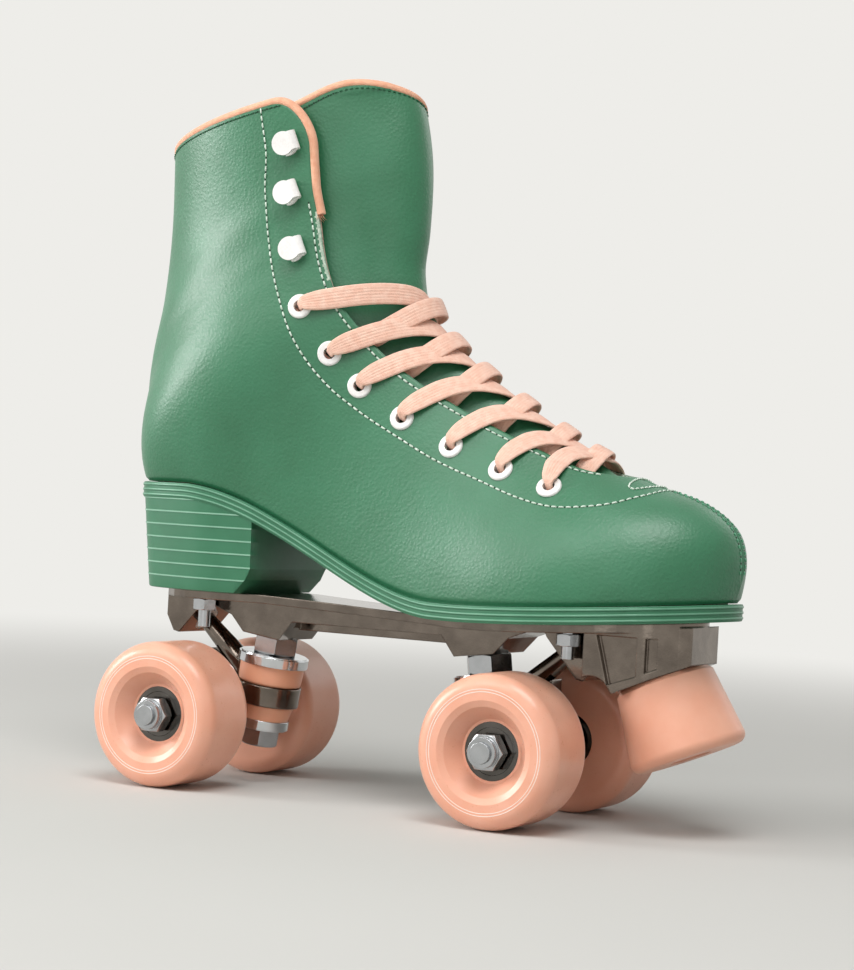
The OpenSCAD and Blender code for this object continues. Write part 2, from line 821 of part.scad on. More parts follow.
// Lace: one flat band, threaded up from the bar across the lowest row
lace_hole_w = 3.7;
function lace_ring(p, wide, dir, w) =
    let (
        across_dir = unit(wide - dir * (wide * dir)),
        thick = cross(across_dir, dir),
        a = w / 2,
        b = lace_t / 2,
        shape = [[a, 0], [a - 0.4, b], [-a + 0.4, b], [-a, 0], [-a + 0.4, -b], [a - 0.4, -b]]
    )
    [for (q = shape) p + q.x * across_dir + q.y * thick];

// A place on the lace's route: its point, the direction of its width, and its width
function lace_spot(u, d, side, off, w) =
    let (t = max(0.02, t_at(u, side, d)))
    [skin_by(u, max(0.001, d), side, off), up_along(u, t, side), w];

// Station of strand r at distance d from the crest, positive on the side of its upper eyelet.
// A strand is pulled straight, so it crosses the crest lower down than its eyelets,
// and its last lace_end at each eyelet runs without that dip.
lace_dip = [0.8, 0.75, 0.7, 0.6, 0.45, 0.25];
inner_dip = 0.45;
lace_end = 3.2;
function lace_station(r, to, d) =
    let (
        last = len(eyelet_rows) - 1,
        u0 = eyelet_row(min(r + 1, last), -to),
        u1 = eyelet_row(r, to),
        e0 = throat(u0, -to) + eyelet_inset,
        e1 = throat(u1, to) + eyelet_inset,
        s = min(1, d > 0 ? d / (e1 - lace_end) : -d / (e0 - lace_end))
    )
    mix(u0, u1, (d + e0) / (e0 + e1))
        - (r < last ? lace_dip[r] * (to == LEFT ? 1 : inner_dip) * (1 - s * s) : 0);

// Height of a strand over the surface, from the facing that it lies on to the one that it passes under
function strand_off(q, over) =
    let (
        levels = over
            ? [lace_lift, 2.2, 3.3, 3.3, 0, -lace_under]
            : [lace_lift, 0.9, 0.4, 0, -2.2, -lace_under]
    )
    curve(levels, 5 * q);

// One crossing strand: from under the facing of side -to, at row r + 1, to the eyelet of row r on side to
function strand(r, to) =
    let (
        g0 = throat(lace_station(r, to, -throat(eyelet_row(r + 1, -to), -to)), -to) - 2,
        g1 = throat(lace_station(r, to, throat(eyelet_row(r, to), to)), to) + 1,
        steps = 10
    )
    [for (i = [0 : steps])
        let (q = i / steps, d = mix(-g0, g1, q))
        lace_spot(lace_station(r, to, d), abs(d), d < 0 ? -to : to, strand_off(1 - q, to == LEFT), lace_w)];

// From the facing's edge over to the eyelet, down through it and back below to the edge
function turn(r, side) =
    let (
        e = throat(eyelet_row(r, side), side) + eyelet_inset,
        over = function (d, off, w) lace_spot(lace_station(r, side, d), d, side, off, w),
        under = function (d, off, w)
            lace_spot(r > 0 ? lace_station(r - 1, -side, -d) : eyelet_row(r, side), d, side, off, w)
    )
    [
        over(e - 7.7, lace_lift + 0.75, lace_w * 0.85), over(e - 2.6, lace_lift + 1.4, lace_hole_w + 1.4),
        over(e - 0.75, lace_lift + 0.7, lace_hole_w), over(e - 0.1, -0.6, lace_hole_w - 0.3),
        under(e - 0.1, -skin_in - 0.6, lace_hole_w - 0.3), under(e - 0.9, -lace_under - 0.9, lace_hole_w),
        under(e - 2.6, -lace_under - 1, lace_hole_w + 1.4), under(e - 7.7, -lace_under - 0.3, lace_w * 0.85)
    ];

// Bar over the lowest row, from the eyelet on the left to the one on the right
function bar() =
    let (last = len(eyelet_rows) - 1, steps = 8, g = throat(eyelet_rows[last], RIGHT) + 3)
    [for (i = [0 : steps])
        let (d = mix(-g, g, i / steps))
        lace_spot(lace_station(last, RIGHT, d), abs(d), d < 0 ? LEFT : RIGHT, lace_lift, lace_w)];

function reversed(list) = [for (i = [len(list) - 1 : -1 : 0]) list[i]];

// Route of the lace from one side's eyelet in the lowest row up to the top row
function lace_half(side) =
    let (last = len(eyelet_rows) - 1)
    [for (k = [0 : last])
        let (r = last - k, s = k % 2 == 0 ? side : -side)
        each concat(turn(r, s), r > 0 ? strand(r - 1, -s) : [])];

module lace() {
    path = concat(reversed(lace_half(LEFT)), bar(), lace_half(RIGHT));
    last = len(path) - 1;
    finish(peach)
        tube([for (i = [0 : last])
            let (dir = unit(path[min(i + 1, last)][0] - path[max(i - 1, 0)][0]))
            lace_ring(path[i][0], path[i][1], dir, path[i][2])]);
}

// Plate

// Places of the mounting bolts
bolt_front = axle_x + 16.5;
bolt_rear = -axle_x + 1.5;
bolt_list = [for (x = [bolt_front, bolt_rear], s = [RIGHT, LEFT]) [x, s * bolt_y]];
bolt_head_r = 5;
bolt_head_h = 2.4;
bolt_end_z = plate_z - 15;
bolt_nut_h = 4.6;
bolt_nut_af = 9;
function bolt_head_z(x) = sole_top(x) - bolt_head_h - 0.5;

module bolt_spots() {
    for (spot = bolt_list) {
        translate([spot.x, spot.y, 0]) children();
    }
}

module bolt_way(r) {
    translate([0, 0, plate_z - 30]) cylinder(r = r, h = 90);
}

// Height of the plate's top at x: the heel pad, a slope under the waist and the ball pad
pad_front = sole_slope_front;
heel_pad_end = -44;
function plate_top(x) =
    x <= heel_pad_end ? plate_z
    : x < pad_front ? mix(plate_z, pad_z(pad_front), (x - heel_pad_end) / (pad_front - heel_pad_end))
    : pad_z(x);
function pad_z(x) = sole_under(x) - seat;
pad_steps = 24;
top_xs = concat([tail_x, heel_pad_end], [for (i = [0 : pad_steps]) mix(pad_front, nose_x, i / pad_steps)]);
top_line = [for (x = top_xs) [x, plate_top(x)]];

// Lower corners of a kingpin boss and of a pivot lug, measured outboard from the middle
tilt_up = [-sin(kingpin_tilt), cos(kingpin_tilt)];
tilt_out = [cos(kingpin_tilt), sin(kingpin_tilt)];
boss_half = 8.6;
boss_c = [axle_x - ring_inset, axle_z + ring_rise] + s_boss * tilt_up;
boss_in = boss_c - boss_half * tilt_out;
boss_out = boss_c + boss_half * tilt_out;
steer_dir = [sin(steer_lean), cos(steer_lean)];
steer_low = [cos(steer_lean), -sin(steer_lean)];
pivot_c = [axle_x + pivot_out, axle_z + pivot_rise];
mouth_c = pivot_c - cup_mouth * steer_dir;
mouth_tip = mouth_c + lug_half * steer_low;
mouth_top = mouth_c - lug_half * steer_low;
boss_line = [
    [boss_in.x - 6, rail_z], boss_in, boss_out,
    [boss_out.x + 6, flange_z - 6], [boss_out.x + 14, flange_z - 3]
];
lug_line = [[mouth_top.x - 1, flange_z - 2], mouth_top, mouth_tip];

stop_dir = [cos(stop_tilt), sin(stop_tilt)];
stop_back = stop_c - 11.5 * stop_dir;
stop_front = [nose_x, stop_c.y + (nose_x - stop_c.x) * tan(stop_tilt)];
block_half = 20;
block_x = bolt_front + bolt_nut_af * 0.6 + 1.2;
arch_r = 8.5;

// Side view of the rails between the flange and their lower edge
module rail_profile() {
    tail = [[tail_x, mouth_tip.y + 7], [tail_x, flange_z + 0.5]];
    nose = [mouth_tip + [3.6, -4.2], stop_back + [-2, -1], stop_back, stop_front, [nose_x, flange_z + 0.5]];
    polygon(concat(
        [tail[1], tail[0], [-mouth_tip.x - 2.6, mouth_tip.y + 0.6]], mirrored(lug_line), mirrored(boss_line),
        boss_line, lug_line, nose,
        reversed([for (p = top_line) [p.x, p.y - flange_t / 2]])
    ));
}

// Plan outline of the flange: narrow at the tail, wide at the pads, round at the nose
module flange_outline() {
    steps = 28;
    nose_r = block_half;
    xs = [for (i = [0 : steps]) mix(tail_x, nose_x - nose_r, i / steps)];
    half = function (x) mix(rail_half, waist_half
        + (pad_half - waist_half) * smooth((abs(x - 4) - 18) / 46)
        - (pad_half - block_half) * smooth((x - axle_x - 22) / 20), smooth((x - tail_x + 1) / 14));
    union() {
        polygon(concat([for (x = xs) [x, -half(x)]], reversed([for (x = xs) [x, half(x)]])));
        translate([nose_x - nose_r, 0]) circle(r = nose_r);
    }
}

module plate_body() {
    // Flange
    intersection() {
        linear_extrude(plate_z + 40) flange_outline();
        across(60) polygon(concat(top_line, reversed([for (p = top_line) [p.x, p.y - flange_t]])));
    }
    // Two rails
    difference() {
        across(rail_half) rail_profile();
        across(rail_half - 4.5) polygon([
            [-boss_in.x + 4, rail_z - 20], [boss_in.x - 4, rail_z - 20],
            [boss_in.x - 4, flange_z - 1.2], [-boss_in.x + 4, flange_z - 1.2]
        ]);
    }
    // Keel between the bosses
    across(3) polygon([
        [-boss_in.x + 1, keel_z], [boss_in.x - 1, keel_z], [boss_in.x - 1, flange_z], [-boss_in.x + 1, flange_z]
    ]);
    // Toe stop block, round at the nose
    intersection() {
        across(block_half) rail_profile();
        translate([block_x, -40, axle_z]) cube([nose_x, 80, 80]);
        linear_extrude(plate_z + 40)
            union() {
                translate([nose_x - block_half, 0]) circle(r = block_half);
                translate([0, -block_half]) square([nose_x - block_half, 2 * block_half]);
            }
    }
}

module plate() {
    arch_c = mix(mouth_tip + [3.6, -4.2], stop_back + [-2, -1], 0.5) - [0, 4.5];
    finish(cast_metal)
        difference() {
            plate_body();
            // Arch between the front pivot and the toe stop
            translate([arch_c.x, 0, arch_c.y]) rotate([90, 0, 0]) cylinder(r = arch_r, h = 60, center = true);
            // Two cast pockets on each side of the toe stop block
            for (s = [RIGHT, LEFT], k = [0, 1]) {
                translate([0, s * block_half, 0]) across(2.4) pocket(k);
            }
            // Kingpin threads and pivot cup sockets
            for (end = [FRONT, REAR]) {
                at_ring(end) translate([0, 0, s_boss - 3]) cylinder(r = kingpin_r + fit, h = kingpin_thread + 3.3);
                at_pivot(end) translate([0, 0, -cup_mouth - 12])
                    cylinder(r = cup_r + fit, h = cup_mouth + cup_depth + 12);
            }
            bolt_spots() bolt_way(bolt_d / 2 + running);
            // Toe stop bolt
            at_stop() cylinder(d = stop_bolt_d + 2 * fit, h = 16, center = false);
        }
}

// Outline of a pocket: the rear one a wedge behind the rib, the front one a narrow slot
module pocket(k) {
    top = flange_z - 1.5;
    rib = stop_c.x - 2;
    low = function (x) stop_c.y + (x - stop_c.x) * tan(stop_tilt) + 3;
    back = stop_c.x - 15;
    if (k == 0) {
        polygon([[back, low(back) + 1], [rib - 1.6, low(rib - 1.6)], [rib - 1.6, top], [back - 5, top]]);
    } else {
        polygon([[rib + 1.6, low(rib + 1.6)], [rib + 6, low(rib + 6)], [rib + 6, top], [rib + 1.6, top]]);
    }
}

module mounting_bolts() {
    finish(steel)
        for (spot = bolt_list) {
            translate([spot.x, spot.y, 0]) {
                translate([0, 0, bolt_end_z]) cylinder(d = bolt_d, h = bolt_head_z(spot.x) - bolt_end_z + 1);
                translate([0, 0, bolt_head_z(spot.x)]) cylinder(r = bolt_head_r, h = bolt_head_h);
            }
        }
}

module hex_nut(af, h, bore_r) {
    difference() {
        intersection() {
            cylinder(d = af / cos(30), h = h, $fn = 6);
            union() {
                cylinder(r1 = af / 2, r2 = af / 2 + 1.6, h = 0.9);
                translate([0, 0, 0.9]) cylinder(r = af / 2 + 1.6, h = h - 1.8);
                translate([0, 0, h - 0.9]) cylinder(r1 = af / 2 + 1.6, r2 = af / 2, h = 0.9);
            }
        }
        translate([0, 0, -1]) cylinder(r = bore_r, h = h + 2);
    }
}

// Nuts under the flange
module mounting_nuts() {
    finish(steel)
        for (spot = bolt_list) {
            x = spot.x;
            low = plate_top(x - bolt_nut_af / 2) < plate_top(x + bolt_nut_af / 2) ? -1 : 1;
            under = plate_top(x + low * bolt_nut_af * 0.6) - flange_t;
            translate([x, spot.y, under - bolt_nut_h - seat]) hex_nut(bolt_nut_af, bolt_nut_h, bolt_d / 2 + fit);
        }
}

// Toe stop

module at_stop() {
    translate([stop_c.x, 0, stop_c.y]) rotate([0, -stop_tilt, 0]) children();
}

stop_head_depth = 9;
stop_head_r = 8;
module toe_stop() {
    chamfer = 1.5;
    bore = stop_bolt_d / 2 + running;
    top = [stop_top_d / 2, -chamfer - seat];
    c = [stop_low_d / 2 - stop_edge_r, -stop_len + stop_edge_r];
    // Where the side meets the rounded edge without a corner
    to_c = c - top;
    turn = asin(stop_edge_r / norm(to_c));
    slope = atan2(to_c.y, to_c.x) + turn;
    edge_steps = 12;
    edge = [for (i = [0 : edge_steps])
        let (a = mix(slope + 90, -90, i / edge_steps)) c + stop_edge_r * [cos(a), sin(a)]];
    finish(peach)
        at_stop()
            rotate_extrude()
                polygon(concat(
                    [[bore, -seat], [top.x - chamfer, -seat], top],
                    edge,
                    [
                        [stop_head_r, -stop_len], [stop_head_r, -stop_len + stop_head_depth],
                        [bore, -stop_len + stop_head_depth]
                    ]
                ));
}

module toe_stop_bolt() {
    finish(steel)
        at_stop() {
            translate([0, 0, -stop_len + stop_head_depth - 5.5 - seat])
                difference() {
                    cylinder(r = 6.5, h = 5.5);
                    translate([0, 0, -1]) cylinder(d = 7, h = 4, $fn = 6);
                }
            translate([0, 0, -stop_len + stop_head_depth - 1])
                cylinder(d = stop_bolt_d, h = stop_len - stop_head_depth + 15);
        }
}

// Trucks

module hanger(end) {
    web = 9;
    finish(cast_metal)
        at_truck(end)
            difference() {
                union() {
                    rotate([90, 0, 0]) cylinder(r = housing_r, h = 2 * housing_half, center = true);
                    in_ring() cylinder(d = ring_d, h = ring_h, center = true);
                    in_pivot() {
                        translate([0, 0, -steer_len + ring_d / 2 - 4])
                            cylinder(r1 = 5.4, r2 = pivot_r - 0.3, h = steer_len - ring_d / 2 + 4);
                        sphere(r = pivot_r);
                    }
                    // Web from the arm down to the axle housing
                    rotate([90, 0, 0]) linear_extrude(web, center = true)
                        polygon([
                            [-ring_inset + ring_d / 2 - 2, ring_rise - 2], [-4, -4], [5, 2],
                            [pivot_out * 0.35, pivot_rise * 0.66], [-ring_inset + ring_d / 2 - 2, ring_rise + 5]
                        ]);
                    // Shoulders from the ring out along the housing
                    translate([0, 0, 1]) linear_extrude(6, center = true)
                        polygon([
                            [-ring_inset + 9, -ring_d / 2 + 4.5], [-2, -housing_half + 3], [3, -housing_half + 3],
                            [3, housing_half - 3], [-2, housing_half - 3], [-ring_inset + 9, ring_d / 2 - 4.5]
                        ]);
                }
                in_ring() {
                    cylinder(r = ring_bore_r, h = 60, center = true);
                    // Clear way for the cushions above and below the ring, and for the upper retainer
                    translate([0, 0, s_upper]) cylinder(r = ring_d / 2 + 0.6, h = 30);
                    translate([0, 0, s_retainer - retainer_lip - steer_clear])
                        cylinder(r = cushion_d / 2 + retainer_wall + steer_clear, h = 30);
                    translate([0, 0, -ring_h / 2 - 30]) cylinder(r = ring_d / 2 - 0.6, h = 30);
                }
                rotate([90, 0, 0]) cylinder(r = axle_r + fit, h = 200, center = true);
            }
}

module in_ring() {
    translate([-ring_inset, 0, ring_rise]) rotate([0, -kingpin_tilt, 0]) children();
}

module in_pivot() {
    translate([pivot_out, 0, pivot_rise]) rotate([0, steer_lean, 0]) children();
}

module axle(end) {
    finish(steel) at_truck(end) rotate([90, 0, 0]) cylinder(r = axle_r, h = 2 * axle_end, center = true);
}

module kingpin(end) {
    finish(steel)
        at_ring(end) {
            translate([0, 0, s_head - kingpin_head_h])
                intersection() {
                    cylinder(d = 15 / cos(30), h = kingpin_head_h, $fn = 6);
                    union() {
                        cylinder(r1 = 7.2, r2 = 9, h = 1.2);
                        translate([0, 0, 1.2]) cylinder(r = 9, h = kingpin_head_h);
                    }
                }
            translate([0, 0, s_head - 1]) cylinder(r = kingpin_r, h = s_boss + kingpin_thread - s_head + 1);
        }
}

module kingpin_nut(end) {
    finish(steel)
        at_ring(end) translate([0, 0, s_nut + seat])
            hex_nut(kingpin_nut_af, kingpin_nut_h - 2 * seat, kingpin_r + fit);
}

// Dished retainer; its lip turns over the cushion
retainer_wall = 1;
module retainer(d) {
    wall = retainer_wall;
    rotate_extrude()
        difference() {
            union() {
                translate([0, 0]) square([d / 2 + wall, retainer_t - 0.5]);
                translate([0, 0]) square([d / 2 + wall - 0.8, retainer_t]);
                translate([d / 2 + 0.2, -retainer_lip]) square([wall - 0.2, retainer_lip + 0.5]);
            }
            translate([-1, -10]) square([kingpin_r + running + 1, 20]);
        }
}

module upper_retainer(end) {
    finish(steel) at_ring(end) translate([0, 0, s_retainer]) retainer(cushion_d);
}

lower_cushion_d = 20;
module lower_retainer(end) {
    finish(steel) at_ring(end) translate([0, 0, s_lower]) rotate([180, 0, 0]) retainer(lower_cushion_d);
}

// Cushions: soft rings that squeeze as the truck steers
module cushion(d1, d2, h) {
    difference() {
        union() {
            translate([0, 0, seat]) cylinder(d1 = d1 - 2, d2 = d1, h = 1);
            translate([0, 0, 1 + seat]) cylinder(d1 = d1, d2 = d2, h = h - 2 - 2 * seat);
            translate([0, 0, h - 1 - seat]) cylinder(d1 = d2, d2 = d2 - 2, h = 1);
        }
        translate([0, 0, -1]) cylinder(r = kingpin_r + 0.3, h = h + 2);
    }
}

module upper_cushion(end) {
    finish(peach) at_ring(end) translate([0, 0, s_upper]) cushion(cushion_d - 1.2, cushion_d - 0.2, cushion_h);
}

module lower_cushion(end) {
    finish(peach)
        at_ring(end) translate([0, 0, s_lower])
            cushion(lower_cushion_d - 1.4, lower_cushion_d + 4, lower_cushion_h);
}

module pivot_cup(end) {
    finish(white_paint)
        at_pivot(end)
            difference() {
                translate([0, 0, -cup_mouth]) cylinder(r = cup_r, h = cup_mouth + cup_depth - 0.1);
                sphere(r = pivot_r + running);
                translate([0, 0, -10]) cylinder(r = pivot_r + running, h = 10);
            }
}

// Wheel stations along one axle
module at_hub(end, side) {
    translate([end * axle_x, 0, axle_z]) rotate([side * -90, 0, 0]) children();
}

module ring_of(r1, r2, h) {
    difference() {
        cylinder(r = r2, h = h);
        translate([0, 0, -1]) cylinder(r = r1, h = h + 2);
    }
}

module axle_nuts(end) {
    finish(steel)
        for (side = [RIGHT, LEFT]) {
            at_hub(end, side) translate([0, 0, hub_out + washer_t]) {
                hex_nut(axle_nut_af, axle_nut_h, axle_r + fit);
                translate([0, 0, axle_nut_h - 0.3])
                    ring_of(axle_r + fit, axle_nut_af / 2 - 0.8, axle_collar_h + 0.3);
            }
        }
}

module washers(end) {
    finish(steel)
        for (side = [RIGHT, LEFT], z = [hub_in - washer_t, hub_out]) {
            at_hub(end, side) translate([0, 0, z]) ring_of(axle_r + fit, washer_r, washer_t);
        }
}

race_shoulder = ball_d * 0.36;
module inner_rings(end) {
    finish(steel)
        for (side = [RIGHT, LEFT], z = [hub_in, hub_out - bearing_w]) {
            at_hub(end, side) translate([0, 0, z])
                rotate_extrude()
                    difference() {
                        translate([bearing_bore / 2, 0])
                            square([ball_pitch_r - race_shoulder - bearing_bore / 2, bearing_w]);
                        translate([ball_pitch_r, bearing_w / 2]) circle(d = ball_d + 2 * running);
                    }
        }
}

module spacers(end) {
    finish(steel)
        for (side = [RIGHT, LEFT]) {
            at_hub(end, side) translate([0, 0, hub_in + bearing_w])
                ring_of(axle_r + fit, bearing_bore / 2 + 1.2, spacer_len);
        }
}

module balls(end) {
    finish(steel)
        for (side = [RIGHT, LEFT], z = [hub_in, hub_out - bearing_w], k = [0 : ball_count - 1]) {
            at_hub(end, side) rotate([0, 0, 360 * k / ball_count])
                translate([ball_pitch_r, 0, z + bearing_w / 2]) sphere(d = ball_d);
        }
}

// Outer rings with their shields
module outer_rings(end, side) {
    shield_t = 0.4;
    shield_in = ball_pitch_r - race_shoulder + 0.4;
    finish(steel)
        for (z = [hub_in, hub_out - bearing_w]) {
            at_hub(end, side) translate([0, 0, z])
                rotate_extrude()
                    union() {
                        difference() {
                            translate([ball_pitch_r + race_shoulder, 0])
                                square([bearing_d / 2 - ball_pitch_r - race_shoulder, bearing_w]);
                            translate([ball_pitch_r, bearing_w / 2]) circle(d = ball_d + 2 * running);
                        }
                        for (y = [0.3, bearing_w - 0.3 - shield_t]) {
                            translate([shield_in, y])
                                square([ball_pitch_r + race_shoulder - shield_in + 0.1, shield_t]);
                        }
                    }
        }
}

// Wheel: poured tread with rounded edges, a dished outer face and a seat for each bearing
module wheel(end, side) {
    in_face = track / 2 - wheel_w / 2;
    out_face = track / 2 + wheel_w / 2;
    r = wheel_d / 2;
    seat_r = bearing_d / 2 + fit;
    lip = 1.2;
    finish(peach)
        at_hub(end, side)
            rotate_extrude($fn = 96)
                difference() {
                    union() {
                        translate([0, in_face]) square([r - wheel_edge_r, wheel_w]);
                        translate([0, in_face + wheel_edge_r]) square([r, wheel_w - 2 * wheel_edge_r]);
                        for (y = [in_face + wheel_edge_r, out_face - wheel_edge_r]) {
                            translate([r - wheel_edge_r, y]) circle(r = wheel_edge_r);
                        }
                    }
                    translate([-1, in_face - 1]) square([bearing_d / 2 - 1.8 + 1, wheel_w + 2]);
                    translate([-1, in_face - 1]) square([seat_r + 1, hub_in - in_face + bearing_w + 1]);
                    translate([-1, hub_out - bearing_w]) square([seat_r + 1, wheel_w]);
                    polygon([
                        [0, hub_out], [seat_r + 1, hub_out], [hub_recess_d / 2 - lip, out_face - lip],
                        [hub_recess_d / 2 + lip, out_face], [hub_recess_d / 2 + lip, out_face + 1],
                        [0, out_face + 1]
                    ]);
                }
}

module front_hanger() { hanger(FRONT); }
module front_axle() { axle(FRONT); }
module front_kingpin() { kingpin(FRONT); }
module front_kingpin_nut() { kingpin_nut(FRONT); }
module front_upper_retainer() { upper_retainer(FRONT); }
module front_upper_cushion() { upper_cushion(FRONT); }
module front_lower_cushion() { lower_cushion(FRONT); }
module front_lower_retainer() { lower_retainer(FRONT); }
module front_pivot_cup() { pivot_cup(FRONT); }
module front_axle_nuts() { axle_nuts(FRONT); }
module front_washers() { washers(FRONT); }
module front_inner_rings() { inner_rings(FRONT); }
module front_spacers() { spacers(FRONT); }
module front_balls() { balls(FRONT); }
module rear_hanger() { hanger(REAR); }
module rear_axle() { axle(REAR); }
module rear_kingpin() { kingpin(REAR); }
module rear_kingpin_nut() { kingpin_nut(REAR); }
module rear_upper_retainer() { upper_retainer(REAR); }
module rear_upper_cushion() { upper_cushion(REAR); }
module rear_lower_cushion() { lower_cushion(REAR); }
module rear_lower_retainer() { lower_retainer(REAR); }
module rear_pivot_cup() { pivot_cup(REAR); }
module rear_axle_nuts() { axle_nuts(REAR); }
module rear_washers() { washers(REAR); }
module rear_inner_rings() { inner_rings(REAR); }
module rear_spacers() { spacers(REAR); }
module rear_balls() { balls(REAR); }
module front_right_wheel() { wheel(FRONT, RIGHT); }
module front_left_wheel() { wheel(FRONT, LEFT); }
module rear_right_wheel() { wheel(REAR, RIGHT); }
module rear_left_wheel() { wheel(REAR, LEFT); }
module front_right_outer_rings() { outer_rings(FRONT, RIGHT); }
module front_left_outer_rings() { outer_rings(FRONT, LEFT); }
module rear_right_outer_rings() { outer_rings(REAR, RIGHT); }
module rear_left_outer_rings() { outer_rings(REAR, LEFT); }

upper_right();
upper_left();
lining();
tongue();
tongue_binding();
collar_binding();
insole();
outsole();
heel_block();
eyelets_right();
eyelets_left();
hooks_right();
hooks_left();
lace();
plate();
mounting_bolts();
mounting_nuts();
toe_stop();
toe_stop_bolt();
front_hanger();
front_axle();
front_kingpin();
front_kingpin_nut();
front_upper_retainer();
front_upper_cushion();
front_lower_cushion();
front_lower_retainer();
front_pivot_cup();
front_axle_nuts();
front_washers();
front_inner_rings();
front_spacers();
front_balls();
rear_hanger();
rear_axle();
rear_kingpin();
rear_kingpin_nut();
rear_upper_retainer();
rear_upper_cushion();
rear_lower_cushion();
rear_lower_retainer();
rear_pivot_cup();
rear_axle_nuts();
rear_washers();
rear_inner_rings();
rear_spacers();
rear_balls();
front_right_wheel();
front_left_wheel();
rear_right_wheel();
rear_left_wheel();
front_right_outer_rings();
front_left_outer_rings();
rear_right_outer_rings();
rear_left_outer_rings();
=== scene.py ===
"""Looks of the high-top quad roller skate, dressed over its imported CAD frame.

Sizes are written in millimetres in the skate's own frame, with X = 0 midway between the axles,
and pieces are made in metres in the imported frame, whose X = 0 is MID_X further forward.
"""

import json
import math

import bpy
import numpy as np
from mathutils import Matrix, Vector


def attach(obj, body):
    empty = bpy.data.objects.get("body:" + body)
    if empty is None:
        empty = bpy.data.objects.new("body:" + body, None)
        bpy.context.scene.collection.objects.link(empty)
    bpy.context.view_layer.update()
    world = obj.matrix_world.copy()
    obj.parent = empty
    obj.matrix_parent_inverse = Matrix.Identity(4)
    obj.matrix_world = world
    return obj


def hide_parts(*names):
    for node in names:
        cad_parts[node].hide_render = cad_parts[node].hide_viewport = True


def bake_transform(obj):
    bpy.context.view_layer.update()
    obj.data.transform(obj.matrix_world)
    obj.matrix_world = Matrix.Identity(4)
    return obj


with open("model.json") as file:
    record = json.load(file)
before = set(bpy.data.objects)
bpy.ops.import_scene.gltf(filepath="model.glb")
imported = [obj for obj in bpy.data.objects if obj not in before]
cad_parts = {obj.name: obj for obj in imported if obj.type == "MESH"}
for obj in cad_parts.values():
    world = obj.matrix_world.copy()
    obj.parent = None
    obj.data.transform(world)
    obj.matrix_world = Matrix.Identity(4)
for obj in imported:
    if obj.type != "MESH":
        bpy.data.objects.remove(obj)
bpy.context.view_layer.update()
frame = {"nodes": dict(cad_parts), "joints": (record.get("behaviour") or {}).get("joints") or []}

MM = 0.001
RIGHT, LEFT = -1, 1
FRONT, REAR = 1, -1
SIDES = ((RIGHT, "right"), (LEFT, "left"))
ENDS = ((FRONT, "front"), (REAR, "rear"))
AXLE_X, AXLE_Z = 74.5, 29.0
front_spin = next(j for j in frame["joints"] if j["name"] == "front_right_spin")
MID_X = AXLE_X - front_spin["pos_m"][0] / MM

# Boot sizes
PLATE_Z = 78.6
HEEL_H = 36.9
SOLE_T = 6.5
BALL_DIP = 3.5
TOE_SPRING = 6.7
WELT = 1.6
UPPER_T = 2.2
LINING_T = 1.2
TONGUE_T = 4.5
INSOLE_T = 4.0
GLUE_GAP, SEAT_GAP, SEAM_GAP = 0.15, 0.05, 0.04
SKIN_IN = UPPER_T + LINING_T + GLUE_GAP
HEEL_BACK = 112.0
TOE_X = 262.5 - HEEL_BACK
SHANK_START, SHANK_RUN = -80.0, 122.0
SOLE_BALL, SPRING_POWER = 50.0, 1.4
HEEL, TOP = 12, 17
ANKLE_START, ANKLE_RUN = 8.5, 3
# Step in station or parameter over which slopes are taken
SLOPE_STEP = 0.02

# Stations of the boot, from the toe along the sole to the heel and up the back seam
CREST = np.array([
    [265, 18.4], [264.5, 29.4], [259.5, 38.9], [247, 46.9], [226, 53.2], [201, 63.2],
    [174, 78.5], [151, 93.5], [134.5, 107.5], [126, 120], [123, 131.5], [122.5, 142.5],
    [122.7, 153.5], [122.7, 164.5], [122, 175.5], [120.5, 186], [118, 197], [114.5, 207],
])
INNER = np.array([
    [262.5, -3.5], [257.5, -19], [245, -32], [226.5, -40], [204, -43], [180, -41], [154, -35.5],
    [126, -30], [96, -27.5], [66, -29], [38, -31], [11, -23.5], [0, 0],
])
OUTER = np.array([
    [262.5, -3.5], [258.5, 12], [247, 27.5], [228.5, 39], [205, 44.5], [180, 45], [154, 42],
    [126, 37], [96, 33], [66, 31], [38, 31], [11, 23.5], [0, 0],
])
BACK_SEAM = np.array([[0, 0], [-2.5, 19], [-4, 39], [-1.5, 68], [1, 100], [2.5, 136]])
CREST_REACH = np.array([
    0, 9, 18, 25, 28, 26, 24, 24, 27, 31.5, 35, 39.5, 43, 44.5, 45, 45, 45.5, 47,
])
RIM_RISE = np.array([4, 10, 16, 20, 24, 27, 32, 38, 42, 38, 43, 54, 75, 73, 59, 37, 16, 4])
RIM_LEAN = np.array([1.2, 2, 2.5, 3, 3, 2, 1, 1.5, 2.5, 6.5, 5, 5, 14, 8, -6, -12, -11, -4])
RIM_WIDTH = np.array([43] * 9 + [55, 57.5, 52, 46, 41, 40, 40, 42, 45.5])
THROAT = np.array([
    14, 14, 14, 14, 14, 16.3, 19.4, 21.8, 24.4, 27.4, 31.5, 33.7, 35.5, 37.5, 39.6, 40, 39.3, 38,
])
THROAT_END, THROAT_ROUND = 4.2, 0.75
THROAT_SHIFT, SHIFT_START, SHIFT_RUN = 9, 6, 6
COLLAR_ROUND, COLLAR_CORNER = 1.3, 12.0
BINDING_LOW, RAW_EDGE_LOW = 13.0, 10.7

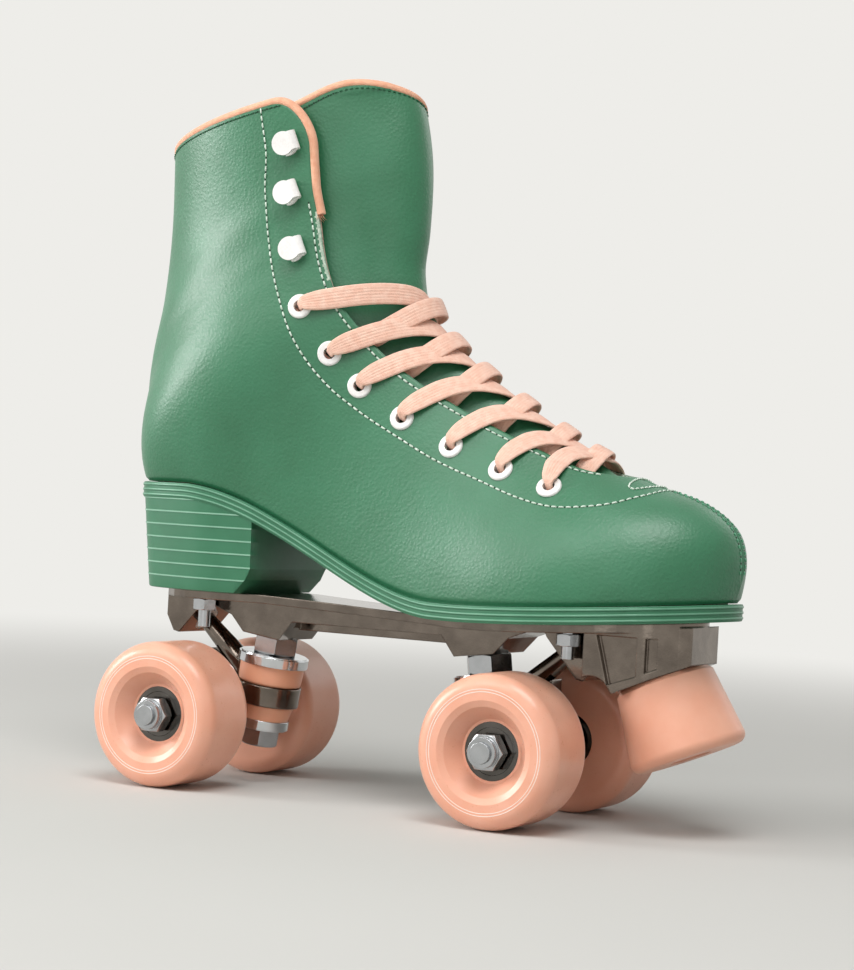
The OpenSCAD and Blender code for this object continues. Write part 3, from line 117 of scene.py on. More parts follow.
# Lacing
EYELET_ROWS = [10.45, 9.15, 8.3, 7.43, 6.55, 5.7, 4.93]
OUTER_DROP = [0.45, 0.5, 0.5, 0.5, 0.45, 0.35, 0.15]
LAST_ROW = len(EYELET_ROWS) - 1
EYELET_INSET, EYELET_HOLE, HOLE_REACH = 14.0, 2.8, 8
LACE_W, LACE_T = 8.6, 1.5
LACE_HOLE_W, LACE_NARROWEST = 3.7, 3.2
LACE_LIFT = LACE_T / 2 + 0.2
LACE_UNDER = SKIN_IN + LACE_T / 2 + 0.3
# How far the crossings sag, in stations, and the share of it where a strand ends on the inner side
LACE_DIP = [0.8, 0.75, 0.7, 0.6, 0.45, 0.25, 0]
INNER_DIP = 0.45
# Straight run at an eyelet, and the upward arch of the strands that are seen whole
LACE_END, LACE_ARCH = 3.2, 0.22
# Heights over the boot's face, from a strand's eyelet to its far end under the other facing
OVER_LEVELS = [LACE_LIFT, 2.2, 3.3, 3.3, 0, -LACE_UNDER]
UNDER_LEVELS = [LACE_LIFT, 0.9, 0.4, 0, -2.2, -LACE_UNDER]


# Curves and the boot's surface

def smooth(f):
    c = np.clip(f, 0, 1)
    return c * c * (3 - 2 * c)


def mix(a, b, f):
    return a + (b - a) * f


def unit(v):
    return v / np.linalg.norm(v, axis=-1, keepdims=True)


def curve(points, s, before=None, after=None):
    """Catmull-Rom curve through points at parameter s."""
    points, s = np.asarray(points, float), np.asarray(s, float)
    before = 2 * points[0] - points[1] if before is None else before
    after = 2 * points[-1] - points[-2] if after is None else after
    q = np.concatenate([[before], points, [after]])
    i = np.clip(np.floor(s).astype(int), 0, len(points) - 2)
    f = s - i
    if points.ndim > 1:
        f = f[..., None]
    a, b, c, d = q[i], q[i + 1], q[i + 2], q[i + 3]
    square, cube = 2 * a - 5 * b + 4 * c - d, 3 * b - a - 3 * c + d
    return 0.5 * (2 * b + (c - a) * f + square * f**2 + cube * f**3)


def sole_under(x):
    slope = smooth((x - SHANK_START) / SHANK_RUN)
    spring = np.maximum(0, (x - SOLE_BALL) / (TOE_X - SOLE_BALL)) ** SPRING_POWER
    return PLATE_Z - BALL_DIP + (HEEL_H + BALL_DIP) * (1 - slope) + TOE_SPRING * spring


def upper_seat(x):
    return sole_under(x) + SOLE_T + SEAT_GAP


def feather(u, side):
    """Where the upper meets the sole, in plan."""
    mine, other = (INNER, OUTER) if side == RIGHT else (OUTER, INNER)
    return curve(mine, np.clip(u, 0, HEEL), other[1], other[HEEL - 1]) - [HEEL_BACK, 0]


def outward(u, side):
    after, before = np.minimum(u + SLOPE_STEP, HEEL), np.maximum(u - SLOPE_STEP, 0)
    d = unit(feather(after, side) - feather(before, side))
    return -side * np.stack([d[..., 1] * -1, d[..., 0]], -1)


def moved_out(u, side, out):
    return feather(u, side) + out * outward(u, side)


def crest(u):
    p = curve(CREST, u)
    x = p[..., 0] - HEEL_BACK
    swing = INNER[0, 1] * smooth((x - SOLE_BALL) / (TOE_X - SOLE_BALL))
    return np.stack([x, swing, PLATE_Z + p[..., 1]], -1)


def rim_station(u):
    f = (u - HEEL) / 2
    turned = np.where(f < 0, HEEL - 2 * (2 * f**2 + f**3), HEEL + 2 * (2 * f**2 - f**3))
    return np.where(abs(f) > 1, u, turned)


def rim(r, side):
    """Lower edge of the upper: along the sole, then up the back seam."""
    p = feather(r, side)
    low = np.stack([p[..., 0], p[..., 1], upper_seat(p[..., 0])], -1)
    q = curve(BACK_SEAM, np.maximum(r - HEEL, 0))
    up = np.stack([q[..., 0] - HEEL_BACK, 0 * q[..., 0], upper_seat(-HEEL_BACK) + q[..., 1]], -1)
    return np.where((r <= HEEL)[..., None], low, up)


def surface(u, t, side):
    """Point of the upper's outer face at station u, from the crest (t = 0) to the rim (t = 1)."""
    u, t = np.broadcast_arrays(np.asarray(u, float), np.asarray(t, float))
    r = rim_station(u)
    top, low, n = crest(u), rim(r, side), outward(np.minimum(r, HEEL), side)
    lean, swing = curve(RIM_LEAN, u), smooth((u - ANKLE_START) / ANKLE_RUN)
    near_top = top + np.stack([0 * u, side * curve(CREST_REACH, u), 0 * u], -1)
    wide = mix(low[..., 1] + n[..., 1] * lean, side * curve(RIM_WIDTH, u), swing)
    rise = low[..., 2] + curve(RIM_RISE, u)
    near_low = np.stack([low[..., 0] + n[..., 0] * lean, wide, rise], -1)
    t = t[..., None]
    f = 1 - t
    p = f**3 * top + 3 * f**2 * t * near_top + 3 * f * t**2 * near_low + t**3 * low
    return p + [0, side * SEAM_GAP, 0]


def normal(u, t, side):
    e = SLOPE_STEP
    u, t = np.broadcast_arrays(np.asarray(u, float), np.asarray(t, float))
    uc, tc = np.clip(u, e, TOP - e), np.clip(t, e, 1 - e)
    du = surface(uc + e, tc, side) - surface(uc - e, tc, side)
    dt = surface(uc, tc + e, side) - surface(uc, tc - e, side)
    n = -side * np.cross(du, dt)
    on_seam = (u <= 0) | (t <= 0) | ((t >= 1) & (u >= HEEL))
    n[..., 1] = np.where(on_seam, 0, n[..., 1])
    return unit(n)


def skin(u, t, side, off):
    return surface(u, t, side) + np.asarray(off)[..., None] * normal(u, t, side)


def halved(lo, hi, still_low):
    """Range that closes in on where still_low stops being true."""
    for _ in range(18):
        m = (lo + hi) / 2
        low = still_low(m)
        lo, hi = np.where(low, m, lo), np.where(low, hi, m)
    return lo, hi


def t_at(u, d, side):
    """Parameter t at chord distance d from the crest."""
    u, d = np.broadcast_arrays(np.asarray(u, float), np.asarray(d, float))
    start = surface(u, 0 * u, side)
    lo, hi = halved(np.zeros(u.shape), np.full(u.shape, 0.8),
                    lambda t: np.linalg.norm(surface(u, t, side) - start, axis=-1) < d)
    return (lo + hi) / 2


def throat(u, side):
    """Half width of the throat at station u of one side."""
    u = np.asarray(u, float)
    f = np.clip((u - THROAT_END) / THROAT_ROUND, 0, 1)
    mouth = np.sqrt(1 - (1 - f) ** 2)
    shift = -side * THROAT_SHIFT * smooth((u - SHIFT_START) / SHIFT_RUN)
    c = np.clip((u - TOP + COLLAR_ROUND) / COLLAR_ROUND, 0, 1)
    corner = COLLAR_CORNER * (1 - np.sqrt(1 - c * c))
    return np.where(u <= THROAT_END, 0, mouth * (curve(THROAT, u) + shift) + corner)


def eyelet_row(row, side):
    """Station of an eyelet; the outer side's sit a little lower."""
    return EYELET_ROWS[row] - (OUTER_DROP[row] if side == LEFT else 0)


def edge_t(u, side):
    return np.where(np.asarray(u) <= THROAT_END, 0, t_at(u, throat(u, side), side))


def up_along(u, t, side):
    """Direction on the surface across a section, upwards along the boot."""
    across = surface(u, t + 0.01, side) - surface(u, t - 0.01, side)
    return -side * unit(np.cross(across, normal(u, t, side)))


# Meshes

def place(points):
    """Skate-frame millimetres to packed-frame metres."""
    return (np.asarray(points, float).reshape(-1, 3) - [MID_X, 0, 0]) * MM


def add_piece(name, points, faces, finishes, body="boot", instead_of=(), slot=None,
              face_finish=None, sharp=None):
    """Makes one mesh piece that rides on a body, if one is named, and may stand for CAD nodes."""
    mesh = bpy.data.meshes.new(name)
    mesh.from_pydata(place(points).tolist(), [], [list(map(int, f)) for f in faces])
    for finish in finishes:
        mesh.materials.append(finish)
    if face_finish is not None:
        mesh.polygons.foreach_set("material_index", np.asarray(face_finish, np.int32))
    mesh.shade_smooth()
    if sharp is not None:
        mesh.set_sharp_from_angle(angle=math.radians(sharp))
    mesh.update()
    obj = bpy.data.objects.new(name, mesh)
    bpy.context.scene.collection.objects.link(obj)
    if body:
        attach(obj, body)
    if instead_of:
        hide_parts(*instead_of)
    return obj


def grid_faces(rows, cols, start=0, closed=False):
    """Quads of a grid; closed joins the last column to the first."""
    across = np.arange(cols if closed else cols - 1)
    i, j = np.meshgrid(np.arange(rows - 1), across, indexing="ij")
    k = (j + 1) % cols
    quads = [i * cols + j, i * cols + k, (i + 1) * cols + k, (i + 1) * cols + j]
    return start + np.stack(quads, -1).reshape(-1, 4)


def shell(outer, inner, flip):
    """Closed shell between two grids; returns points, quads and which quads are cut edges."""
    rows, cols = outer.shape[:2]
    half = rows * cols
    o = np.arange(half).reshape(rows, cols)
    face = grid_faces(rows, cols)
    edges = []
    for line, turn in ((o[:, 0], False), (o[:, -1], True), (o[0], True), (o[-1], False)):
        strip = np.stack([line[:-1], line[1:], line[1:] + half, line[:-1] + half], -1)
        edges.append(strip[:, ::-1] if turn else strip)
    quads = np.concatenate([face, face[:, ::-1] + half] + edges)
    cut = np.zeros(len(quads), int)
    cut[2 * len(face):2 * len(face) + rows - 1] = 1
    if flip:
        quads = quads[:, ::-1]
    return np.concatenate([outer.reshape(-1, 3), inner.reshape(-1, 3)]), quads, cut


def tube(rings):
    """Points and faces of a capped tube through rings of equal size."""
    rings = np.asarray(rings, float)
    count, sides = rings.shape[:2]
    faces = [list(q) for q in grid_faces(count, sides, closed=True)]
    faces += [list(range(sides))[::-1], list(range((count - 1) * sides, count * sides))]
    return rings.reshape(-1, 3), faces


def joined(parts):
    """Points and faces of several parts as one."""
    starts = np.cumsum([0] + [len(points) for points, _ in parts])
    faces = [[k + start for k in face] for (_, mine), start in zip(parts, starts) for face in mine]
    return np.concatenate([points for points, _ in parts]), faces


def spun(profile, steps=72):
    """Points and quads of a closed profile of (radius, height) turned round Z."""
    profile = np.asarray(profile, float)
    a = np.linspace(0, 2 * math.pi, steps, endpoint=False)
    points = np.stack([
        np.outer(np.cos(a), profile[:, 0]), np.outer(np.sin(a), profile[:, 0]),
        np.tile(profile[:, 1], (steps, 1)),
    ], -1)
    faces = grid_faces(steps + 1, len(profile), closed=True) % (steps * len(profile))
    return points.reshape(-1, 3), faces


def resample(path, pitch):
    """Points at an even pitch along a polyline, with the index of each as a fraction."""
    path = np.asarray(path, float)
    run = np.concatenate([[0], np.cumsum(np.linalg.norm(np.diff(path, axis=0), axis=1))])
    count = max(2, int(round(run[-1] / pitch)) + 1)
    return np.interp(np.linspace(0, run[-1], count), run, np.arange(len(path)))


def along(values, index):
    """Values at fractional indices."""
    i = np.clip(np.floor(index).astype(int), 0, len(values) - 2)
    return mix(values[i], values[i + 1], (index - i)[:, None])


# Materials

def linear(hex_colour):
    """An sRGB hex value as a linear colour."""
    srgb = [int(hex_colour[i:i + 2], 16) / 255 for i in (1, 3, 5)]
    return [c / 12.92 if c <= 0.04045 else ((c + 0.055) / 1.055) ** 2.4 for c in srgb] + [1.0]


def add_node(tree, kind, inputs=None, to=None, **settings):
    """Adds a node; an input is a value or the socket that feeds it, and the node feeds `to`."""
    made = tree.nodes.new("ShaderNode" + kind)
    for key, value in settings.items():
        setattr(made, key, value)
    for socket, value in (inputs or {}).items():
        if isinstance(value, bpy.types.NodeSocket):
            tree.links.new(value, made.inputs[socket])
        else:
            made.inputs[socket].default_value = value
    if to is not None:
        tree.links.new(made.outputs[0], to)
    return made


def new_material(name, **sockets):
    """A Principled material with constants on its sockets, and the place that its patterns use."""
    made = bpy.data.materials.new(name)
    made.use_nodes = True
    shader = made.node_tree.nodes["Principled BSDF"]
    for key, value in sockets.items():
        shader.inputs[key.replace("_", " ")].default_value = value
    where = add_node(made.node_tree, "TexCoord").outputs["Object"]
    return made, made.node_tree, shader, where


def per_metre(size_mm):
    """Texture scale for a pattern that repeats every size_mm."""
    return 1 / (size_mm * MM)


def two_tone(tree, shader, where, dark, light, size_mm):
    """Base colour that drifts between two tones over patches of size_mm."""
    drift = add_node(tree, "TexNoise", {"Vector": where, "Scale": per_metre(size_mm), "Detail": 3})
    ramp = add_node(tree, "ValToRGB", {"Fac": drift.outputs["Fac"]}, to=shader.inputs["Base Color"])
    for stop, spot, tone in zip(ramp.color_ramp.elements, (0.35, 0.65), (dark, light)):
        stop.position, stop.color = spot, linear(tone)


def coated_leather():
    # Corrected-grain leather with a sprayed finish: a fine pebble grain under a satin coat that
    # spreads lamps into broad pale sheens, and slow dents where it was pulled over the last.
    made, tree, shader, where = new_material(
        "coated_leather", Roughness=0.42, IOR=1.5, Specular_IOR_Level=0.55, Coat_Weight=0.35,
        Coat_Roughness=0.36)
    two_tone(tree, shader, where, "#236945", "#28704c", 22)
    pebble = add_node(tree, "TexVoronoi",
                      {"Vector": where, "Scale": per_metre(1.25), "Smoothness": 0.6},
                      feature="SMOOTH_F1")
    pores = add_node(tree, "TexNoise", {"Vector": where, "Scale": per_metre(0.7), "Detail": 2.0})
    dents = add_node(tree, "TexNoise", {"Vector": where, "Scale": per_metre(30), "Detail": 1.0})
    add_node(tree, "MapRange", {"Value": pebble.outputs["Distance"], "From Max": 0.8,
                                "To Min": 0.38, "To Max": 0.5}, to=shader.inputs["Roughness"])
    slow = add_node(tree, "Bump",
                    {"Height": dents.outputs["Fac"], "Strength": 0.5, "Distance": 1.0 * MM})
    grain = add_node(tree, "Bump",
                     {"Height": pebble.outputs["Distance"], "Strength": 0.5, "Distance": 0.24 * MM,
                      "Normal": slow.outputs["Normal"]}, invert=True)
    add_node(tree, "Bump", {"Height": pores.outputs["Fac"], "Strength": 0.4, "Distance": 0.16 * MM,
                            "Normal": grain.outputs["Normal"]}, to=shader.inputs["Normal"])
    return made


def cut_leather():
    # The undyed core of split leather on a cut edge: pale, fibrous and dull.
    made, tree, shader, where = new_material("cut_leather", Roughness=0.9, IOR=1.45)
    two_tone(tree, shader, where, "#8fae97", "#cfd9c9", 1.2)
    fibre = add_node(tree, "TexNoise", {"Vector": where, "Scale": per_metre(0.6), "Detail": 3.0})
    add_node(tree, "Bump", {"Height": fibre.outputs["Fac"], "Strength": 0.6, "Distance": 0.25 * MM},
             to=shader.inputs["Normal"])
    return made


def woven_fibre(name, dark, light, thread_mm, sheen):
    # Woven or twisted fibre: dull, with a fine rib of threads, drawn a little coarse to show.
    made, tree, shader, where = new_material(
        name, Roughness=0.85, IOR=1.45, Sheen_Weight=sheen, Sheen_Roughness=0.5)
    two_tone(tree, shader, where, dark, light, 2.5)
    weave = add_node(tree, "TexVoronoi", {"Vector": where, "Scale": per_metre(thread_mm)})
    add_node(tree, "Bump", {"Height": weave.outputs["Distance"], "Strength": 0.5,
                            "Distance": 0.2 * MM}, to=shader.inputs["Normal"], invert=True)
    return made


def perforated_lining():
    # Foam-backed lining cloth: dusty pink with a close pattern of punched dots.
    made, tree, shader, where = new_material(
        "perforated_lining", Roughness=0.9, IOR=1.45, Sheen_Weight=0.15)
    dots = add_node(tree, "TexVoronoi",
                    {"Vector": where, "Scale": per_metre(2.2), "Randomness": 0.15})
    ramp = add_node(tree, "ValToRGB", {"Fac": dots.outputs["Distance"]},
                    to=shader.inputs["Base Color"])
    dot, cloth = ramp.color_ramp.elements
    dot.position, dot.color = 0.22, linear("#a8665a")
    cloth.position, cloth.color = 0.34, linear("#e3b6a5")
    add_node(tree, "Bump", {"Height": ramp.outputs["Color"], "Strength": 0.6, "Distance": 0.3 * MM},
             to=shader.inputs["Normal"])
    return made


def moulded(name, dark, light, roughness, texture_mm=1.0, **sockets):
    # Injection-moulded or cast polymer: even colour with a faint texture from the mould.
    made, tree, shader, where = new_material(name, Roughness=roughness, IOR=1.5, **sockets)
    two_tone(tree, shader, where, dark, light, 14)
    skin_noise = add_node(tree, "TexNoise",
                          {"Vector": where, "Scale": per_metre(texture_mm), "Detail": 2.0})
    add_node(tree, "MapRange", {"Value": skin_noise.outputs["Fac"], "To Min": roughness - 0.07,
                                "To Max": roughness + 0.07}, to=shader.inputs["Roughness"])
    add_node(tree, "Bump", {"Height": skin_noise.outputs["Fac"], "Strength": 0.15,
                            "Distance": 0.08 * MM}, to=shader.inputs["Normal"])
    return made


def metal(name, dark, light, roughness, edge_mm, grit_mm, bump_mm):
    # Metal with a softened edge; the noise is the casting's or the plating's slight unevenness.
    made, tree, shader, where = new_material(name, Metallic=1.0, Roughness=roughness)
    two_tone(tree, shader, where, dark, light, 9)
    grit = add_node(tree, "TexNoise", {"Vector": where, "Scale": per_metre(grit_mm), "Detail": 3.0})
    add_node(tree, "MapRange", {"Value": grit.outputs["Fac"], "To Min": roughness * 0.7,
                                "To Max": roughness * 1.4}, to=shader.inputs["Roughness"])
    edge = add_node(tree, "Bevel", {"Radius": edge_mm * MM}, samples=6)
    add_node(tree, "Bump", {"Height": grit.outputs["Fac"], "Strength": 0.3,
                            "Distance": bump_mm * MM, "Normal": edge.outputs["Normal"]},
             to=shader.inputs["Normal"])
    return made


LEATHER = coated_leather()
CUT_EDGE = cut_leather()
# Bonded polyester thread: rounded pale stitches and green ones that sink into the leather. Beside
# each stitch, the puncture each needle stroke leaves is drawn as a dark disc of painted shade
THREAD = woven_fibre("polyester_thread", "#c9dccb", "#e4eee3", thread_mm=0.5, sheen=0.1)
GREEN_THREAD = woven_fibre("green_thread", "#1d5a3b", "#24653f", thread_mm=0.5, sheen=0.1)
SEAM_THREAD = woven_fibre("seam_thread", "#5c9a79", "#6ba787", thread_mm=0.5, sheen=0.1)
NEEDLE_HOLE_SHADE = moulded("needle_hole_painted_shade", "#0e2a1b", "#14351f", 0.8)
# Folded cotton tape and flat cotton lace: dull, with a soft bloom at grazing angles
BINDING = woven_fibre("binding_tape", "#e9a888", "#f0b797", thread_mm=0.55, sheen=0.2)
LACE = woven_fibre("flat_cotton_lace", "#edbca6", "#f5ccb8", thread_mm=0.6, sheen=0.25)
LINING = perforated_lining()
# Moulded polyurethane: satin green, with paler green painted on the ridges as a highlight
SOLE = moulded("moulded_sole", "#306e4e", "#367555", 0.42)
SOLE_RIDGE_HIGHLIGHT = moulded("sole_ridge_painted_highlight", "#5c9175", "#689c80", 0.35)
HEEL_LINE_HIGHLIGHT = moulded("heel_line_painted_highlight", "#7cab92", "#8ab89f", 0.4)
# Baked enamel on stamped metal: clean white under a thin gloss
ENAMEL = moulded("white_enamel", "#ece9e6", "#f4f2f0", 0.28, Coat_Weight=0.3, Coat_Roughness=0.1)
# Polished aluminium casting: a dark mirror with a slow ripple and soft corners
ALLOY = metal("polished_cast_alloy", "#6b625a", "#7c7269", 0.12,
              edge_mm=0.8, grit_mm=2.5, bump_mm=0.15)
# Zinc plate: pale grey and slightly frosted
ZINC = metal("zinc_plated_steel", "#a9abad", "#b9bbbd", 0.2,
             edge_mm=0.35, grit_mm=1.2, bump_mm=0.015)
# Ground steel under oil: dark and sharp
BEARING = metal("oiled_bearing_steel", "#57534f", "#66625e", 0.14,
                edge_mm=0.3, grit_mm=3, bump_mm=0.02)
# Chrome plate: the brightest mirror on the skate
CHROME = metal("bright_chrome", "#c6c8ca", "#d2d4d6", 0.1, edge_mm=0.3, grit_mm=3, bump_mm=0.03)
# Cast urethane and rubber: satin, with a slight glow where light enters at the edges
URETHANE = moulded("cast_urethane", "#eeac90", "#f2b59b", 0.3, Subsurface_Weight=0.15,
                   Subsurface_Radius=(0.006, 0.003, 0.002))
STOP = moulded("toe_stop_rubber", "#ecaa8e", "#f0b398", 0.36, Subsurface_Weight=0.12,
               Subsurface_Radius=(0.005, 0.0025, 0.0015))
CUSHION = moulded("cushion_urethane", "#eba583", "#f0ad8c", 0.4, Subsurface_Weight=0.12,
                  Subsurface_Radius=(0.005, 0.0025, 0.0015))
# Milky moulded nylon, and flat pale printing ink
NYLON = moulded("pivot_cup_nylon", "#dcd8d0", "#e8e5de", 0.45)
PRINT = moulded("pad_print", "#fbe2d5", "#fdebe1", 0.4)


# Boot upper

def collar_turn(count):
    """Stations over the collar's rounded corner."""
    return TOP - COLLAR_ROUND + COLLAR_ROUND * np.sin(np.linspace(0, math.pi / 2, count))


def boot_rows(toe, mouth, instep, corner):
    """Stations from the toe to the collar, close together where the throat and collar turn."""
    quarter = np.linspace(0, math.pi / 2, mouth, endpoint=False)
    return np.concatenate([
        np.linspace(0, THROAT_END, toe, endpoint=False),
        THROAT_END + THROAT_ROUND * (1 - np.cos(quarter)),
        np.linspace(THROAT_END + THROAT_ROUND, TOP - COLLAR_ROUND, instep, endpoint=False),
        collar_turn(corner),
    ])


def half_grid(rows, cols, side):
    """Stations and parameters of one half, with columns close together at both edges."""
    s = np.linspace(0, 1, cols)
    s = s - 0.11 * np.sin(2 * math.pi * s)
    return np.repeat(rows[:, None], cols, 1), mix(edge_t(rows, side)[:, None], 1, s[None])


def near(distance, width):
    return np.exp(-(distance / width) ** 2)


def upper_relief(u, t, side):
    """Depth of the toe and back seams, the tuck at the sole and the rolled edge of the facings."""
    p = surface(u, t, side)
    to_first = np.linalg.norm(p - p[:, :1], axis=-1)
    to_last = np.linalg.norm(p - p[:, -1:], axis=-1)
    seam = np.where(u < THROAT_END, 0.7 * near(to_first, 1.1), 0.45 * near(to_first, 0.5))
    back = np.where(u > HEEL, 0.6 * near(to_last, 1.1), 0.9 * near(to_last, 1.3))
    return -(seam + back)


def lace_holes(side):
    u = np.array([eyelet_row(row, side) for row in range(LAST_ROW + 1)])
    t = t_at(u, throat(u, side) + EYELET_INSET, side)
    return skin(u, t, side, -1.0), normal(u, t, side)


def clear_of_holes(points, faces, side):
    """Which faces lie outside the eyelet holes of one side."""
    centre = points[faces].mean(1)
    keep = np.ones(len(faces), bool)
    for c, n in zip(*lace_holes(side)):
        d = centre - c
        off = d - (d @ n)[:, None] * n
        keep &= (np.linalg.norm(off, axis=1) > EYELET_HOLE) | (abs(d @ n) > HOLE_REACH)
    return keep


def make_upper(side, name):
    rows, cols = boot_rows(56, 12, 150, 16), 84
    u, t = half_grid(rows, cols, side)
    outer = skin(u, t, side, upper_relief(u, t, side))
    points, quads, cut = shell(outer, skin(u, t, side, -UPPER_T), side == RIGHT)
    # Below the binding the facing's cut edge shows over two columns, and here and there a third.
    raw = np.flatnonzero((rows > RAW_EDGE_LOW) & (rows < BINDING_LOW + 0.1)) * (cols - 1)
    cut[np.concatenate([raw, raw + 1, raw[::3] + 2])] = 1
    keep = clear_of_holes(points, quads, side)
    add_piece(f"upper_{name}_leather", points, quads[keep], [LEATHER, CUT_EDGE],
              instead_of=[f"upper_{name}"], slot="upper_leather", face_finish=cut[keep], sharp=50)


def make_lining():
    halves = []
    for side, _ in SIDES:
        u, t = half_grid(boot_rows(30, 8, 90, 10), 44, side)
        points, quads, _ = shell(skin(u, t, side, -UPPER_T - GLUE_GAP), skin(u, t, side, -SKIN_IN),
                                 side == RIGHT)
        halves.append((points, quads[clear_of_holes(points, quads, side)]))
    add_piece("lining_cloth", *joined(halves), [LINING],
              instead_of=["lining"], slot="lining_fabric", sharp=50)


# Tongue

TONGUE_LOW, TONGUE_TOP, TONGUE_PEAK = 3.7, TOP + 0.2, -0.54
INNER_FALL, OUTER_FALL, OUTER_RUN = 0.35, 1.8, 1.3
TONGUE_LOW_HALF, TONGUE_HIGH_HALF, TONGUE_SPREAD = 19, 56, 7
TONGUE_SINK, TONGUE_DROP = 1.2, LACE_UNDER + LACE_T / 2 + 1.4
TONGUE_LIFT_START, TONGUE_LIFT_RUN = 10.2, 1.4
TONGUE_ROLL_START, TONGUE_ROLL = 0.93, 0.07


def tongue_half(u):
    return mix(TONGUE_LOW_HALF, TONGUE_HIGH_HALF, smooth((u - TONGUE_LOW) / TONGUE_SPREAD))


def tongue_end(w):
    """Top of the tongue: highest towards the inner side, with a long fall to the outer one."""
    inner = INNER_FALL * smooth((TONGUE_PEAK - w) / (1 + TONGUE_PEAK))
    outer = OUTER_FALL * smooth((w - TONGUE_PEAK) / OUTER_RUN)
    return TONGUE_TOP - np.where(w < TONGUE_PEAK, inner, outer)


def tongue_point(u, w, extra):
    """Point of the tongue at station u and fraction w of its half width, below its face."""
    u, w, extra = np.broadcast_arrays(*(np.asarray(v, float) for v in (u, w, extra)))
    d = np.maximum(0.001, abs(w) * tongue_half(u))
    lift = smooth((u - TONGUE_LIFT_START) / TONGUE_LIFT_RUN)
    sink = mix(SKIN_IN + 0.05, TONGUE_SINK * (1 - lift), smooth(u - THROAT_END))
    off = -mix(sink, TONGUE_DROP, smooth(d / np.maximum(9, throat(u, LEFT)))) - extra
    right, left = (skin(u, t_at(u, d, side), side, off) for side, _ in SIDES)
    return np.where((w < 0)[..., None], right, left)


def make_tongue():
    rows, cols = 150, 64
    w = np.sin(np.linspace(-math.pi / 2, math.pi / 2, cols))
    u = mix(TONGUE_LOW, tongue_end(w)[None], np.linspace(0, 1, rows)[:, None])
    w = np.repeat(w[None], rows, 0)
    side_edge = np.clip((abs(w) - TONGUE_ROLL_START) / TONGUE_ROLL, 0, 1)
    round_edge = np.sqrt(1 - side_edge**2)
    outer = tongue_point(u, w, TONGUE_T / 2 * (1 - round_edge))
    inner = tongue_point(u, w, TONGUE_T / 2 * (1 + round_edge))
    points, quads, _ = shell(outer, inner, False)
    made = add_piece("tongue_padded_leather", points, quads, [LEATHER], instead_of=["tongue"],
                     slot="upper_leather", sharp=60)


# Binding

def bead(path, up, out, radius, depth, sides=14):
    """Folded tape along an edge: a round bead, depth thick across the edge."""
    a = np.linspace(0, 2 * math.pi, sides, endpoint=False)
    return [c + radius * np.outer(np.cos(a), v) + depth * np.outer(np.sin(a), n)
            for c, v, n in zip(path, up, out)]


def tangents(path):
    return unit(np.gradient(np.asarray(path, float), axis=0))


def make_tongue_binding():
    w = np.linspace(-1, 1, 121)
    path = tongue_point(tongue_end(w), w, TONGUE_T / 2)
    run = tangents(path)
    up = unit(np.array([0, 0, 1]) - run * run[:, 2:])
    rings = bead(path + up * 1.2, up, np.cross(up, run), radius=1.9, depth=TONGUE_T / 2 + 0.25)
    add_piece("tongue_binding_tape", *tube(rings), [BINDING], instead_of=["tongue_binding"],
              slot="binding_tape", sharp=60)


def collar_path():
    """Edge of the collar with its normals, from one facing round the back to the other."""
    stations = np.concatenate([
        np.linspace(BINDING_LOW, TOP - COLLAR_ROUND, 40, endpoint=False), collar_turn(24),
    ])
    halves = []
    for side, _ in SIDES:
        t = edge_t(stations, side)
        f = np.linspace(0, 1, 70)[1:]
        u = np.concatenate([stations, np.full(len(f), float(TOP))])
        t = np.concatenate([t, mix(t[-1], 1, f)])
        halves.append((skin(u, t, side, -SKIN_IN / 2), normal(u, t, side)))
    return tuple(np.concatenate([right, left[-2::-1]]) for right, left in zip(*halves))


def make_collar_binding():
    path, normals = collar_path()
    index = resample(path, 1.6)
    path, normals = along(path, index), unit(along(normals, index))
    run = tangents(path)
    away = unit(np.cross(run, normals))
    rings = bead(path + away, away, np.cross(away, run), radius=1.8, depth=SKIN_IN / 2 + 0.35)
    add_piece("collar_binding_tape", *tube(rings), [BINDING], instead_of=["collar_binding"],
              slot="binding_tape", sharp=60)


def make_frayed_ends():
    """Loose threads at the cut ends of the collar's tape, spread over each end in a spiral."""
    count, turn_each, thread_r = 22, 2.4, 0.16
    ring = np.linspace(0, 2 * math.pi, 5, endpoint=False)
    path, normals = collar_path()
    run = tangents(path)
    threads = []
    for end, turn in ((0, -1), (-1, 1)):
        down, out = turn * run[end], normals[end]
        side = np.cross(out, down)
        girth = np.outer(np.cos(ring), side) + np.outer(np.sin(ring), out)
        for i in range(count):
            a, far = turn_each * i, math.sqrt((i + 0.5) / count)
            start = path[end] + 1.5 * far * (math.cos(a) * side + math.sin(a) * out)
            lean = 0.7 * far * (math.cos(a + 0.6) * side + math.sin(a + 0.6) * out)
            length = 1.5 + 1.5 * abs(math.sin(5.1 * i))
            threads.append(tube([
                start + length * (f * down + f * f * lean)
                + thread_r * (1 - 0.6 * max(0, f)) * girth for f in np.linspace(-0.4, 1, 6)
            ]))
    add_piece("frayed_tape_ends", *joined(threads), [BINDING], slot="binding_tape")


# Stitching

# Radius and lift of the dark disc of painted shade that stands for each needle puncture
NEEDLE_SHADE_R, NEEDLE_SHADE_LIFT = 0.42, 0.06
SEAM_STITCH = {"pitch": 2.4, "length": 1.5, "radius": 0.3}
EDGE_STITCH = {"pitch": 2.2, "length": 1.4, "radius": 0.3}
TACK_STITCH = {"pitch": 2.1, "length": 1.7, "radius": 0.4}
SEAM_INSET = 2.3


